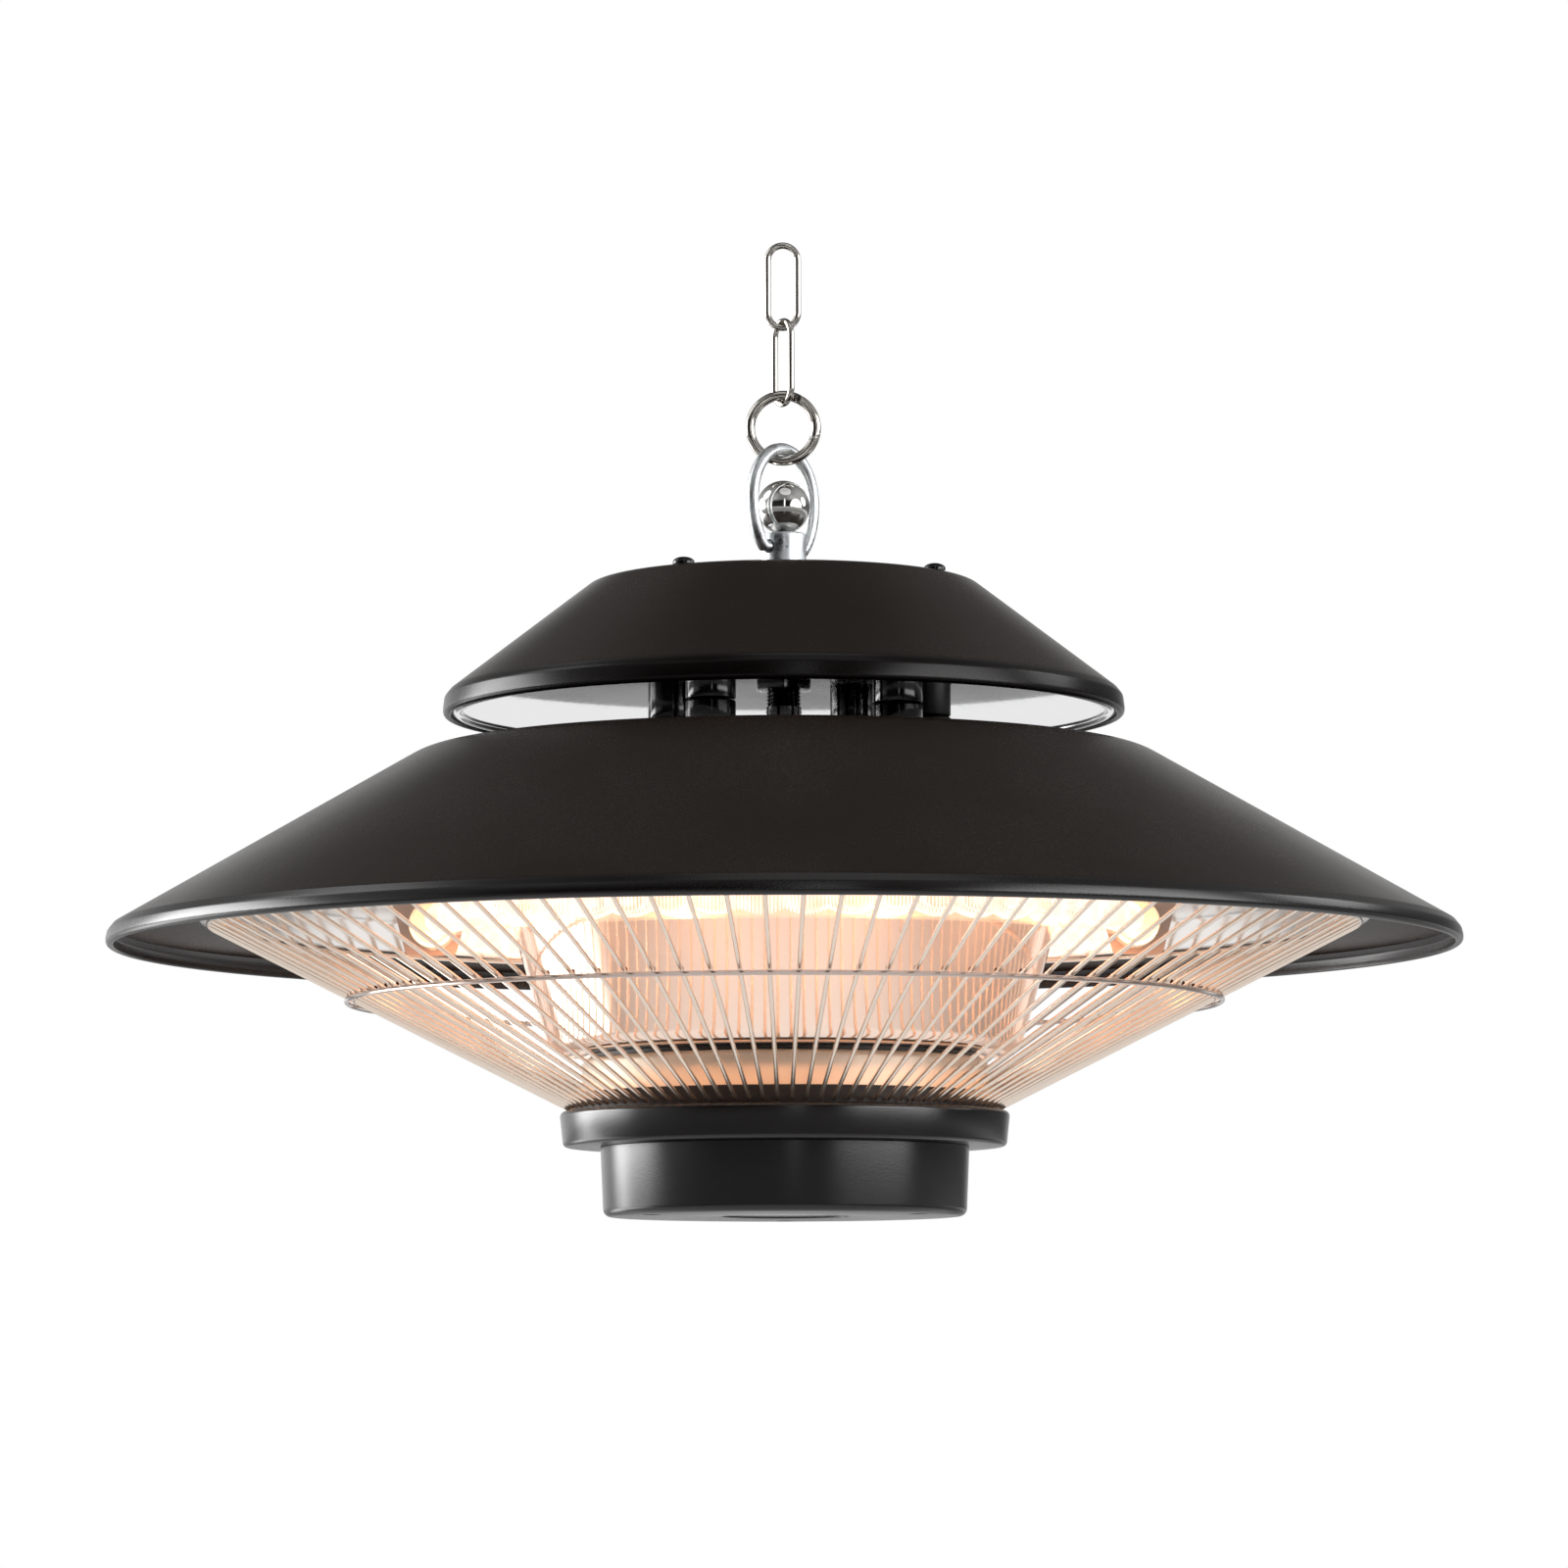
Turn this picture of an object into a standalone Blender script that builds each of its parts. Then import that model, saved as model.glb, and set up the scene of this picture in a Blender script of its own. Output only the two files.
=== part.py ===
"""A two-tier electric patio heater that hangs from a chain.

The origin is the hanging point, the inside top of the upper chain link, and +Z is up.
Heights named ..._BASE and ..._TOP are measured up from the flat underside of the cap.
"""

import math

import bmesh
import bpy
from mathutils import Matrix, Vector

# Driving sizes, in metres and radians

GAP = 0.0003                    # clearance between pieces that touch
BORE_CLEARANCE = 0.0004         # radial clearance of a hole round what passes through it
OVERRUN = 0.004                 # how far a cutter runs past what it cuts
QUARTER = math.radians(90)

# Chain links
LINK_WIRE = 0.0015              # radius of the wire
LINK_LENGTH = 0.0408
LINK_WIDTH = 0.0165
LOWER_LINK_TURN = math.radians(-57)

# Spring-gate ring
RING_WIRE = 0.0022
RING_DIAMETER = 0.034
GATE_HINGE_ANGLE = math.radians(62)
GATE_NOSE_ANGLE = math.radians(-16)
NOSE_SLANT = math.radians(30)
TONGUE_THICKNESS = 0.0018
PIN_RADIUS = 0.0007
KERF = 0.0004

# Bail
BAIL_WIRE = 0.00275
BAIL_TURN = math.radians(48)
BAIL_HEIGHT = 0.0447            # pivot to the wire's centre at the top
BAIL_WIDE_HEIGHT = 0.0215       # pivot to the widest point
BAIL_HALF_WIDTH = 0.0202        # centre of the wire at the widest point
BAIL_TIP_DEPTH = 0.0055         # how far each tip reaches into the stem

# Stem and ball
STEM_RADIUS = 0.0102
STEM_HEIGHT = 0.0222
STEM_PIVOT_HEIGHT = 0.0158
STEM_BORE_DEPTH = 0.008
STEM_CHAMFER = 0.0008
BALL_RADIUS = 0.012
BALL_FLAT_ANGLE = math.radians(-78)

# Central tube and its nuts
TUBE_RADIUS = 0.0078
TUBE_BORE_RADIUS = 0.005
TUBE_FOOT = 0.003               # thread past the lowest nut
NUT_RADIUS = 0.0138             # across the corners, halved
NUT_HEIGHT = 0.008
WASHER_RADIUS = 0.016
WASHER_HEIGHT = 0.0015

# Upper shade
UPPER_RADIUS = 0.1518
UPPER_HEIGHT = 0.0600
UPPER_SHOULDER_RADIUS = 0.0852
UPPER_SHOULDER_FILLET = 0.010
UPPER_LIP_HEIGHT = 0.0112
UPPER_LIP_STEP = 0.003          # how far the lip stands out past the crease
UPPER_WALL = 0.0010
LIP_CORNER = 0.0022
LIP_RETURN = 0.0035             # width of the hem turned in under the lip

# Pan that closes the upper shade
PAN_CLEARANCE = 0.0009          # between the pan and the hem of the lip
PAN_BEAD_INSET = 0.0029         # from the pan's edge to the middle of its bead
PAN_FLAT_INSET = 0.0080         # from the pan's edge to its flat middle
PAN_BEAD_DEPTH = 0.0018
PAN_RIM_HEIGHT = 0.004
PAN_WALL = 0.0008
PAN_RECESS = 0.0023             # how far the lip hangs below the pan's flat middle

# Screws and standoffs of the upper shade
SHADE_SCREW_COUNT = 4
SHADE_SCREW_CIRCLE = 0.0795     # radius that the screws stand on
SHADE_SCREW_ANGLE = math.radians(-123.2)
SCREW_HEAD_RADIUS = 0.0048
SCREW_HEAD_HEIGHT = 0.0031
SCREW_SHANK_RADIUS = 0.0024
SCREW_SHANK_LENGTH = 0.011
STANDOFF_RADIUS = 0.0036
STANDOFF_BORE_DEPTH = 0.013

# Posts between the tiers
POST_COUNT = 4
POST_CIRCLE = 0.0595
POST_ANGLE = math.radians(-122.5)
POST_RADIUS = 0.011
POST_HEIGHT = 0.0176
SPIGOT_RADIUS = 0.0038
SPIGOT_LENGTH = 0.006

# Cable way and gland
CABLE_RADIUS = 0.0038
CABLE_X_SHARE = 0.68            # the cable's place, in radii of the guard's foot
CABLE_Y_SHARE = 0.209
SLEEVE_RADIUS = 0.010
SLEEVE_FOOT_RADIUS = 0.0132
SLEEVE_FOOT_HEIGHT = 0.0022
GLAND_Y = 0.038
GLAND_NECK_RADIUS = 0.006
GLAND_NUT_RADIUS = 0.0095
GLAND_NUT_HEIGHT = 0.004
GLAND_DOME_RADIUS = 0.0062
GLAND_DOME_HEIGHT = 0.006

# Main shade
SHADE_RADIUS = 0.300
SHADE_HEIGHT = 0.0876
SHADE_SHOULDER_RADIUS = 0.1612
SHADE_SHOULDER_FILLET = 0.025
SHADE_LIP_HEIGHT = 0.0090
SHADE_LIP_STEP = 0.003
SHADE_WALL = 0.0012

# Reflector plate and its spacer
PLATE_RADIUS = 0.2585
PLATE_OVERHANG = 0.0032         # how far its rim reaches past the guard's top hoop
PLATE_RIM_WIDTH = 0.012
PLATE_SLOPE_WIDTH = 0.014
PLATE_DISH = 0.0125             # height of the flat middle above the rim
PLATE_TURNUP = 0.004
PLATE_WALL = 0.0008
SPACER_RADIUS = 0.014
SPACER_HEIGHT = 0.0611

# Lamps
LAMP_CIRCLE = 0.157             # radius of the ring of lamps, to the tube's centre
LAMP_DROP = 0.0136              # centre of the lamp below the plate
LAMP_TUBE_RADIUS = 0.0085
LAMP_TUBE_WALL = 0.0012
FILAMENT_RADIUS = 0.0016
LAMP_CAP_RADIUS = 0.0104
LAMP_CAP_LENGTH = 0.018
LAMP_CAP_FLOOR = 0.010
BRACKET_THICKNESS = 0.0012
BRACKET_TOP_WIDTH = 0.036
BRACKET_FOOT_DEPTH = 0.013      # below the lamp's centre
BRACKET_FOOT_WIDTH = 0.022
BRACKET_CORNER = 0.003

# Column
COLUMN_TOP_RADIUS = 0.1250
COLUMN_STEP = 0.014             # how far the column's foot stands out past the lower ring
COLUMN_HEIGHT = 0.0706
COLUMN_FOOT_CORNER = 0.008
COLUMN_WALL = 0.0008
GASKET_SETBACK = 0.004          # behind the lower ring's edge
GASKET_THICKNESS = 0.0017
LOWER_RING_SETBACK = 0.0055     # behind the guard's foot
LOWER_RING_HEIGHT = 0.0227
LOWER_RING_CORNER = 0.003

# Guard
WIRE_COUNT = 98
WIRE_RADIUS = 0.0010
GUARD_FOOT_RADIUS = 0.0955
HOOP_WIRE = 0.00115
HOOP_HEIGHT_SHARE = 0.61        # the middle hoop's place along the wires
COLLAR_HEIGHT = 0.0073
COLLAR_CLEARANCE = 0.0010       # round the lower ring

# Control housing
FLANGE_MARGIN = 0.0045          # how far the flange stands out past the guard's foot
FLANGE_HEIGHT = 0.0155
FLANGE_DRAFT = 0.0016
FLANGE_WALL = 0.0022
FLANGE_CORNER = 0.0016
FLANGE_OPENING_MARGIN = 0.002   # round the control board
CAP_SETBACK = 0.0183            # behind the flange's edge
CAP_HEIGHT = 0.0305
CAP_DRAFT = 0.0013
CAP_WALL = 0.0022
CAP_FLOOR = 0.0040
CAP_CORNER = 0.0032
LENS_RADIUS = 0.028
LENS_THICKNESS = 0.0016
LENS_RECESS = 0.0006
LENS_LEDGE = 0.003
BOARD_SETBACK = 0.011           # behind the circle of the cap's screws
BOARD_HOLE_RADIUS = 0.018
BOARD_THICKNESS = 0.0016
BOARD_HEIGHT = 0.0075           # above the floor of the cap
BOARD_RIB_INSET = 0.006         # from the board's edge to the rib that it lies on
BOARD_RIB_WIDTH = 0.003
CAP_SCREW_COUNT = 3
CAP_SCREW_INSET = 0.0143        # from the cap's edge to the circle of its screws
CAP_SCREW_ANGLE = math.radians(90)
CAP_SCREW_HEAD_RADIUS = 0.0036
CAP_SCREW_HEAD_HEIGHT = 0.0022
CAP_SCREW_SHANK_RADIUS = 0.0018
BOSS_RADIUS = 0.0062
TERMINAL_SIZE = (0.018, 0.030, 0.0085)
RELAY_SIZE = (0.015, 0.019, 0.0145)
RELAY_X_SHARE = -0.643          # the relays' place, in radii of the board
RELAY_PITCH = 0.026
BLOCK_BEVEL = 0.0008

# Facets
HOOP_STEPS = 49
SHADE_STEPS = 36
UPPER_STEPS = 28
HOUSING_STEPS = 26
INNER_STEPS = 20
STEM_STEPS = 16
LAMP_STEPS = 11
SMALL_STEPS = 12
SCREW_STEPS = 8
ROUND_WIRE = 2                  # bevel resolution of the wires that show close up
PLAIN_WIRE = 1
SQUARE_WIRE = 0
SMOOTH_ANGLE = math.radians(32)
MERGE = 0.00001                 # points this close become one
LINK_STEPS = 7                  # in each bend of a link
RING_BODY_STEPS = 24
RING_GATE_STEPS = 7
BAIL_STEPS = 20
BALL_STEPS = 8
CABLE_STEPS = 10
TIP_STEPS = 2                   # in a wire's rounded end
BEND_SAMPLES = 40               # where hanging_rise measures a bend
BEND_SPREAD = math.radians(80)

# Shares and counts that shape small details

ROUND_TIP_SHARE = 0.22          # part of a quarter turn that the flat at a round end's tip takes
HEAD_ROUND_SHARE = 0.6          # part of a screw head's height that its rounded edge takes
CABLE_STRAIGHT_SHARE = 0.12     # part of the cable's first drop that runs straight
LATTICE_STAND_OUT = 1.0         # how far the lattice's corners stand out, in wire radii
NOSE_BLOCK = 6                  # side of the block that cuts the ring's nose, in wire radii
RING_OVERLAP = 2                # how far a ring's wire runs past that cut, in wire radii
HEXAGON = 6


# Round bends that cross: how far apart their wires' centres lie when one hangs in the other

def bend_points(radius, turn, spread, upward):
    """Points on the lowest or highest part of a round bend, whose middle is the origin."""
    side = 1 if upward else -1
    points = []
    for step in range(-BEND_SAMPLES, BEND_SAMPLES + 1):
        angle = spread * step / BEND_SAMPLES
        along = radius * math.sin(angle)
        rise = side * radius * (1 - math.cos(angle))
        points.append(Vector((along * math.cos(turn), along * math.sin(turn), rise)))
    return points


def hanging_rise(lower_bend, upper_bend, reach):
    """Least height of the hanging bend's centre above the bend that it hangs in."""
    needed = reach
    for below in lower_bend:
        for above in upper_bend:
            across = (above.xy - below.xy).length
            if across < reach:
                lift = math.sqrt(reach * reach - across * across)
                needed = max(needed, below.z - above.z + lift)
    return needed


LINK_BEND_RADIUS = LINK_WIDTH / 2 - LINK_WIRE
LINK_PITCH = LINK_LENGTH - 2 * LINK_WIRE
RING_RADIUS = RING_DIAMETER / 2 - RING_WIRE
BAIL_TOP_BEND = BAIL_HALF_WIDTH ** 2 / (BAIL_HEIGHT - BAIL_WIDE_HEIGHT)

GUARD_TOP_RADIUS = PLATE_RADIUS - PLATE_OVERHANG
LOWER_RING_RADIUS = GUARD_FOOT_RADIUS - LOWER_RING_SETBACK
COLUMN_FOOT_RADIUS = LOWER_RING_RADIUS + COLUMN_STEP
GASKET_RADIUS = LOWER_RING_RADIUS - GASKET_SETBACK
FLANGE_RADIUS = GUARD_FOOT_RADIUS + FLANGE_MARGIN
CAP_RADIUS = FLANGE_RADIUS - CAP_SETBACK
CAP_SCREW_CIRCLE = CAP_RADIUS - CAP_SCREW_INSET
BOARD_RADIUS = CAP_SCREW_CIRCLE - BOARD_SETBACK
BOARD_RIB_RADIUS = BOARD_RADIUS - BOARD_RIB_INSET
FLANGE_OPENING_RADIUS = BOARD_RADIUS + FLANGE_OPENING_MARGIN
RELAY_X = RELAY_X_SHARE * BOARD_RADIUS
CABLE_X = CABLE_X_SHARE * GUARD_FOOT_RADIUS
CABLE_Y = CABLE_Y_SHARE * GUARD_FOOT_RADIUS
PAN_RADIUS = UPPER_RADIUS - LIP_RETURN - PAN_CLEARANCE
PAN_BEAD_RADIUS = PAN_RADIUS - PAN_BEAD_INSET
PAN_FLAT_RADIUS = PAN_RADIUS - PAN_FLAT_INSET

UPPER_LINK_FOOT = LINK_WIRE - LINK_PITCH
LINK_RISE = hanging_rise(
    bend_points(LINK_BEND_RADIUS, 0, BEND_SPREAD, True),
    bend_points(LINK_BEND_RADIUS, LOWER_LINK_TURN, BEND_SPREAD, False),
    2 * LINK_WIRE + GAP,
)
LOWER_LINK_HEAD = UPPER_LINK_FOOT + LINK_RISE
LOWER_LINK_FOOT = LOWER_LINK_HEAD - LINK_PITCH
RING_RISE = hanging_rise(
    bend_points(LINK_BEND_RADIUS, LOWER_LINK_TURN, BEND_SPREAD, True),
    bend_points(RING_RADIUS, 0, BEND_SPREAD, False),
    LINK_WIRE + RING_WIRE + GAP,
)
RING_Z = LOWER_LINK_FOOT + RING_RISE - RING_RADIUS
RING_FOOT = RING_Z - RING_RADIUS
BAIL_RISE = hanging_rise(
    bend_points(RING_RADIUS, 0, BEND_SPREAD, True),
    bend_points(BAIL_TOP_BEND, BAIL_TURN, BEND_SPREAD / 2, False),
    RING_WIRE + BAIL_WIRE + GAP,
)
PIVOT_Z = RING_FOOT + BAIL_RISE - BAIL_HEIGHT

# Heights above the underside of the cap, from the bottom up

FLANGE_BASE = CAP_HEIGHT + GAP
FLANGE_TOP = FLANGE_BASE + FLANGE_HEIGHT
LOWER_RING_BASE = FLANGE_TOP + GAP
LOWER_RING_TOP = LOWER_RING_BASE + LOWER_RING_HEIGHT
GASKET_BASE = LOWER_RING_TOP + GAP
COLUMN_BASE = GASKET_BASE + GASKET_THICKNESS + GAP
COLUMN_TOP = COLUMN_BASE + COLUMN_HEIGHT
PLATE_BASE = COLUMN_TOP + GAP
PLATE_TOP = PLATE_BASE + PLATE_WALL
SPACER_BASE = PLATE_TOP + GAP
SHADE_TOP = SPACER_BASE + SPACER_HEIGHT + GAP + SHADE_WALL
SHADE_BASE = SHADE_TOP - SHADE_HEIGHT
POST_BASE = SHADE_TOP + GAP
PAN_BASE = POST_BASE + POST_HEIGHT + GAP
PAN_TOP = PAN_BASE + PAN_WALL
UPPER_BASE = PAN_BASE - PAN_RECESS
UPPER_TOP = UPPER_BASE + UPPER_HEIGHT
STEM_BASE = UPPER_TOP + GAP
PIVOT_HEIGHT = STEM_BASE + STEM_PIVOT_HEIGHT

GUARD_FOOT = FLANGE_TOP + GAP + WIRE_RADIUS
GUARD_TOP = PLATE_BASE - PLATE_DISH - GAP - WIRE_RADIUS
LAMP_HEIGHT = PLATE_BASE - LAMP_DROP
HOUSING_NUT_BASE = FLANGE_TOP - FLANGE_WALL - GAP - NUT_HEIGHT
TUBE_BASE = HOUSING_NUT_BASE - TUBE_FOOT
TUBE_TOP = STEM_BASE + STEM_BORE_DEPTH - GAP
BOARD_BASE = CAP_FLOOR + BOARD_HEIGHT + GAP
BOARD_TOP = BOARD_BASE + BOARD_THICKNESS
TERMINAL_BASE = FLANGE_BASE + FLANGE_WALL + GAP
SCREW_SEAT = CAP_SCREW_HEAD_HEIGHT + GAP + LENS_RECESS

LAMP_FACE = BRACKET_THICKNESS / 2 + GAP
LAMP_BEND_START = math.asin((LAMP_FACE + LAMP_CAP_LENGTH + 2 * LAMP_TUBE_WALL) / LAMP_CIRCLE)
LAMP_LEG_X = LAMP_CIRCLE * math.cos(LAMP_BEND_START)

CAP_UNDERSIDE_Z = PIVOT_Z - PIVOT_HEIGHT
TUBE_HOLE_RADIUS = TUBE_RADIUS + BORE_CLEARANCE
CABLE_HOLE_RADIUS = CABLE_RADIUS + 2 * BORE_CLEARANCE


def up(height):
    """World Z of a height above the underside of the cap."""
    return CAP_UNDERSIDE_Z + height


# Scene, collections, bodies and materials

def clear_scene():
    for obj in list(bpy.data.objects):
        bpy.data.objects.remove(obj)


def new_collection(name):
    made = bpy.data.collections.new(name)
    bpy.context.scene.collection.children.link(made)
    return made


def finish(name, colour, roughness, metallic=0.0):
    made = bpy.data.materials.new(name)
    made.use_nodes = True
    shader = made.node_tree.nodes["Principled BSDF"]
    shader.inputs["Base Color"].default_value = (*colour, 1.0)
    shader.inputs["Roughness"].default_value = roughness
    shader.inputs["Metallic"].default_value = metallic
    made.diffuse_color = (*colour, 1.0)
    return made


def body_empty(name, place):
    empty = bpy.data.objects.new(name, None)
    empty.location = place
    PARTS.objects.link(empty)
    return empty


def add(obj, material, body, place):
    """Gives the object its material, its collection and its place on its body."""
    obj.data.materials.clear()
    obj.data.materials.append(material)
    for holder in list(obj.users_collection):
        holder.objects.unlink(obj)
    PARTS.objects.link(obj)
    obj.parent = body
    obj.location = Vector(place) - body.location
    return obj


def smooth(mesh):
    mesh.shade_smooth()
    mesh.set_sharp_from_angle(angle=SMOOTH_ANGLE)


# Outlines

def rounded(points, radii, steps=3):
    """The outline with the corners that radii names by index replaced by arcs."""
    made = []
    for index, corner in enumerate(points):
        if index not in radii:
            made.append(corner)
            continue
        here = Vector(corner)
        back = (Vector(points[index - 1]) - here).normalized()
        ahead = (Vector(points[(index + 1) % len(points)]) - here).normalized()
        half = back.angle(ahead) / 2
        reach = radii[index] / math.tan(half)
        centre = here + (back + ahead).normalized() * radii[index] / math.sin(half)
        start = here + back * reach - centre
        turn = start.angle_signed(here + ahead * reach - centre)
        for step in range(steps + 1):
            spoke = Matrix.Rotation(-turn * step / steps, 2) @ start
            made.append(tuple(centre + spoke))
    return made


def outline_mesh(name, points, closed):
    mesh = bpy.data.meshes.new(name)
    count = len(points)
    last = count if closed else count - 1
    edges = [(index, (index + 1) % count) for index in range(last)]
    mesh.from_pydata([(radius, 0, height) for radius, height in points], edges, [])
    return mesh


def turned(name, points, material, body, place, steps, closed=False, wall=0.0):
    """A turned piece. Its outline runs down the outside; a wall makes a shell of it."""
    obj = bpy.data.objects.new(name, outline_mesh(name, points, closed))
    screw = obj.modifiers.new("Turn", "SCREW")
    screw.steps = steps
    screw.render_steps = steps
    screw.use_merge_vertices = True
    screw.merge_threshold = MERGE
    screw.use_smooth_shade = True
    if wall:
        shell = obj.modifiers.new("Wall", "SOLIDIFY")
        shell.thickness = wall
        shell.offset = -1
        shell.use_even_offset = True
    return add(obj, material, body, place)


# Cutters

def cylinder_mesh(name, places, radius, base, top, segments):
    """Upright cylinders, one at each (x, y) place."""
    shape = bmesh.new()
    for x, y in places:
        bmesh.ops.create_cone(
            shape, cap_ends=True, segments=segments, radius1=radius, radius2=radius,
            depth=top - base, matrix=Matrix.Translation((x, y, (base + top) / 2)))
    mesh = bpy.data.meshes.new(name)
    shape.to_mesh(mesh)
    shape.free()
    return mesh


def cutter(name, mesh, body, place):
    obj = bpy.data.objects.new(name, mesh)
    obj.hide_render = True
    obj.display_type = "WIRE"
    CUTTERS.objects.link(obj)
    obj.parent = body
    obj.location = Vector(place) - body.location
    return obj


def cut(obj, tool, operation="DIFFERENCE"):
    boolean = obj.modifiers.new(tool.name, "BOOLEAN")
    boolean.operation = operation
    boolean.object = tool


def drill(obj, label, places, radius, base, top, segments=SCREW_STEPS):
    """Upright holes in a piece of the heater, from one height to another, whose flats clear radius."""
    name = f"cut_{obj.name}_{label}"
    corner = radius / math.cos(math.pi / segments)
    mesh = cylinder_mesh(name, places, corner, base, top, segments)
    cut(obj, cutter(name, mesh, HEATER, (0, 0, up(0))))


def around(count, radius, first_angle):
    """Places evenly spaced on a circle about the axis."""
    turns = [first_angle + 2 * math.pi * index / count for index in range(count)]
    return [(radius * math.cos(turn), radius * math.sin(turn)) for turn in turns]


# Wires

def wire_curve(name, points, radius, cyclic, radii, caps, sides):
    curve = bpy.data.curves.new(name, "CURVE")
    curve.dimensions = "3D"
    curve.bevel_depth = radius
    curve.bevel_resolution = sides
    curve.use_fill_caps = caps
    spline = curve.splines.new("POLY")
    spline.points.add(len(points) - 1)
    for index, (node, point) in enumerate(zip(spline.points, points)):
        node.co = (*point, 1.0)
        node.radius = radii[index] if radii else 1.0
    spline.use_cyclic_u = cyclic
    return bpy.data.objects.new(name, curve)


def wire_mesh(name, points, radius, cyclic=False, radii=None, caps=True, sides=ROUND_WIRE):
    """The wire as a closed mesh object, which a Boolean can cut."""
    source = wire_curve(name + "_path", points, radius, cyclic, radii, caps, sides)
    bpy.context.scene.collection.objects.link(source)
    bpy.context.view_layer.update()
    graph = bpy.context.evaluated_depsgraph_get()
    mesh = bpy.data.meshes.new_from_object(source.evaluated_get(graph))
    bpy.data.objects.remove(source)
    shape = bmesh.new()
    shape.from_mesh(mesh)
    bmesh.ops.remove_doubles(shape, verts=shape.verts, dist=MERGE)
    bmesh.ops.recalc_face_normals(shape, faces=shape.faces)
    shape.to_mesh(mesh)
    shape.free()
    mesh.name = name
    smooth(mesh)
    return bpy.data.objects.new(name, mesh)


def link_points(turn, steps=LINK_STEPS):
    """The centre line of one chain link about its own middle, turned about Z."""
    straight = LINK_PITCH / 2 - LINK_BEND_RADIUS
    points = []
    for half in (1, -1):
        for step in range(steps + 1):
            angle = math.pi * step / steps
            across = half * LINK_BEND_RADIUS * math.cos(angle)
            height = half * (straight + LINK_BEND_RADIUS * math.sin(angle))
            points.append((across * math.cos(turn), across * math.sin(turn), height))
    return points


def ring_arc(start, end, steps):
    points = []
    for step in range(steps + 1):
        angle = start + (end - start) * step / steps
        points.append((RING_RADIUS * math.cos(angle), 0, RING_RADIUS * math.sin(angle)))
    return points


def with_round_start(points, radius, steps=TIP_STEPS):
    """A wire whose first end is a half ball about its first point, and each point's share of radius."""
    first, second = Vector(points[0]), Vector(points[1])
    back = (first - second).normalized()
    made, radii = [], []
    for step in range(steps):
        angle = QUARTER * (ROUND_TIP_SHARE + (1 - ROUND_TIP_SHARE) * step / steps)
        made.append(tuple(first + back * radius * math.cos(angle)))
        radii.append(math.sin(angle))
    return made + list(points), radii + [1.0] * len(points)


# Chain, ring and bail

def make_link(name, turn, middle, body):
    obj = wire_mesh(name, link_points(turn), LINK_WIRE, cyclic=True)
    return add(obj, NICKEL, body, (0, 0, middle))


def hinge_place():
    return Vector((
        RING_RADIUS * math.cos(GATE_HINGE_ANGLE), 0,
        RING_Z + RING_RADIUS * math.sin(GATE_HINGE_ANGLE)))


def hinge_disc(name, radius, near, far, body):
    """A disc about the gate's hinge, from one distance along Y to another."""
    mesh = cylinder_mesh(name, [(0, 0)], radius, near, far, SMALL_STEPS)
    mesh.transform(Matrix.Rotation(-QUARTER, 4, "X"))
    return cutter(name, mesh, body, hinge_place())


def nose_half_space(name, above, body):
    """A block on one side of the slanted joint between the ring and the gate's nose."""
    size = NOSE_BLOCK * RING_WIRE
    shape = bmesh.new()
    bmesh.ops.create_cube(shape, size=size)
    shift = (size - KERF) / 2 if above else (KERF - size) / 2
    bmesh.ops.translate(shape, verts=shape.verts, vec=(0, 0, shift))
    mesh = bpy.data.meshes.new(name)
    shape.to_mesh(mesh)
    shape.free()
    mesh.transform(Matrix.Rotation(-NOSE_SLANT, 4, "Y"))
    nose = (RING_RADIUS * math.cos(GATE_NOSE_ANGLE), 0,
            RING_Z + RING_RADIUS * math.sin(GATE_NOSE_ANGLE))
    return cutter(name, mesh, body, nose)


def make_ring_clip():
    past = RING_OVERLAP * RING_WIRE / RING_RADIUS
    centre = (0, 0, RING_Z)
    pocket = RING_WIRE + GAP
    slot = TONGUE_THICKNESS / 2 + GAP / 2
    cheek = RING_WIRE + OVERRUN

    points, radii = with_round_start(
        ring_arc(GATE_HINGE_ANGLE, GATE_NOSE_ANGLE + 2 * math.pi + past, RING_BODY_STEPS), RING_WIRE)
    ring = add(wire_mesh("ring_clip_body", points, RING_WIRE, radii=radii), NICKEL, RING, centre)
    cut(ring, hinge_disc("cut_tongue_front", pocket, TONGUE_THICKNESS / 2, cheek, RING))
    cut(ring, hinge_disc("cut_tongue_back", pocket, -cheek, -TONGUE_THICKNESS / 2, RING))
    cut(ring, hinge_disc("cut_tongue_hole", PIN_RADIUS + GAP / 2, -cheek, cheek, RING))
    cut(ring, nose_half_space("cut_ring_end", True, RING))

    points, radii = with_round_start(
        ring_arc(GATE_HINGE_ANGLE, GATE_NOSE_ANGLE - past, RING_GATE_STEPS), RING_WIRE)
    gate = add(wire_mesh("ring_clip_gate", points, RING_WIRE, radii=radii), NICKEL, GATE, centre)
    cut(gate, hinge_disc("cut_gate_slot", pocket, -slot, slot, GATE))
    cut(gate, hinge_disc("cut_gate_hole", PIN_RADIUS + GAP / 2, -cheek, cheek, GATE))
    cut(gate, nose_half_space("cut_gate_nose", False, GATE))

    mesh = cylinder_mesh("ring_clip_pin", [(0, 0)], PIN_RADIUS, -RING_WIRE, RING_WIRE, SCREW_STEPS)
    mesh.transform(Matrix.Rotation(-QUARTER, 4, "X"))
    smooth(mesh)
    add(bpy.data.objects.new("ring_clip_pin", mesh), NICKEL, RING, hinge_place())


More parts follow.
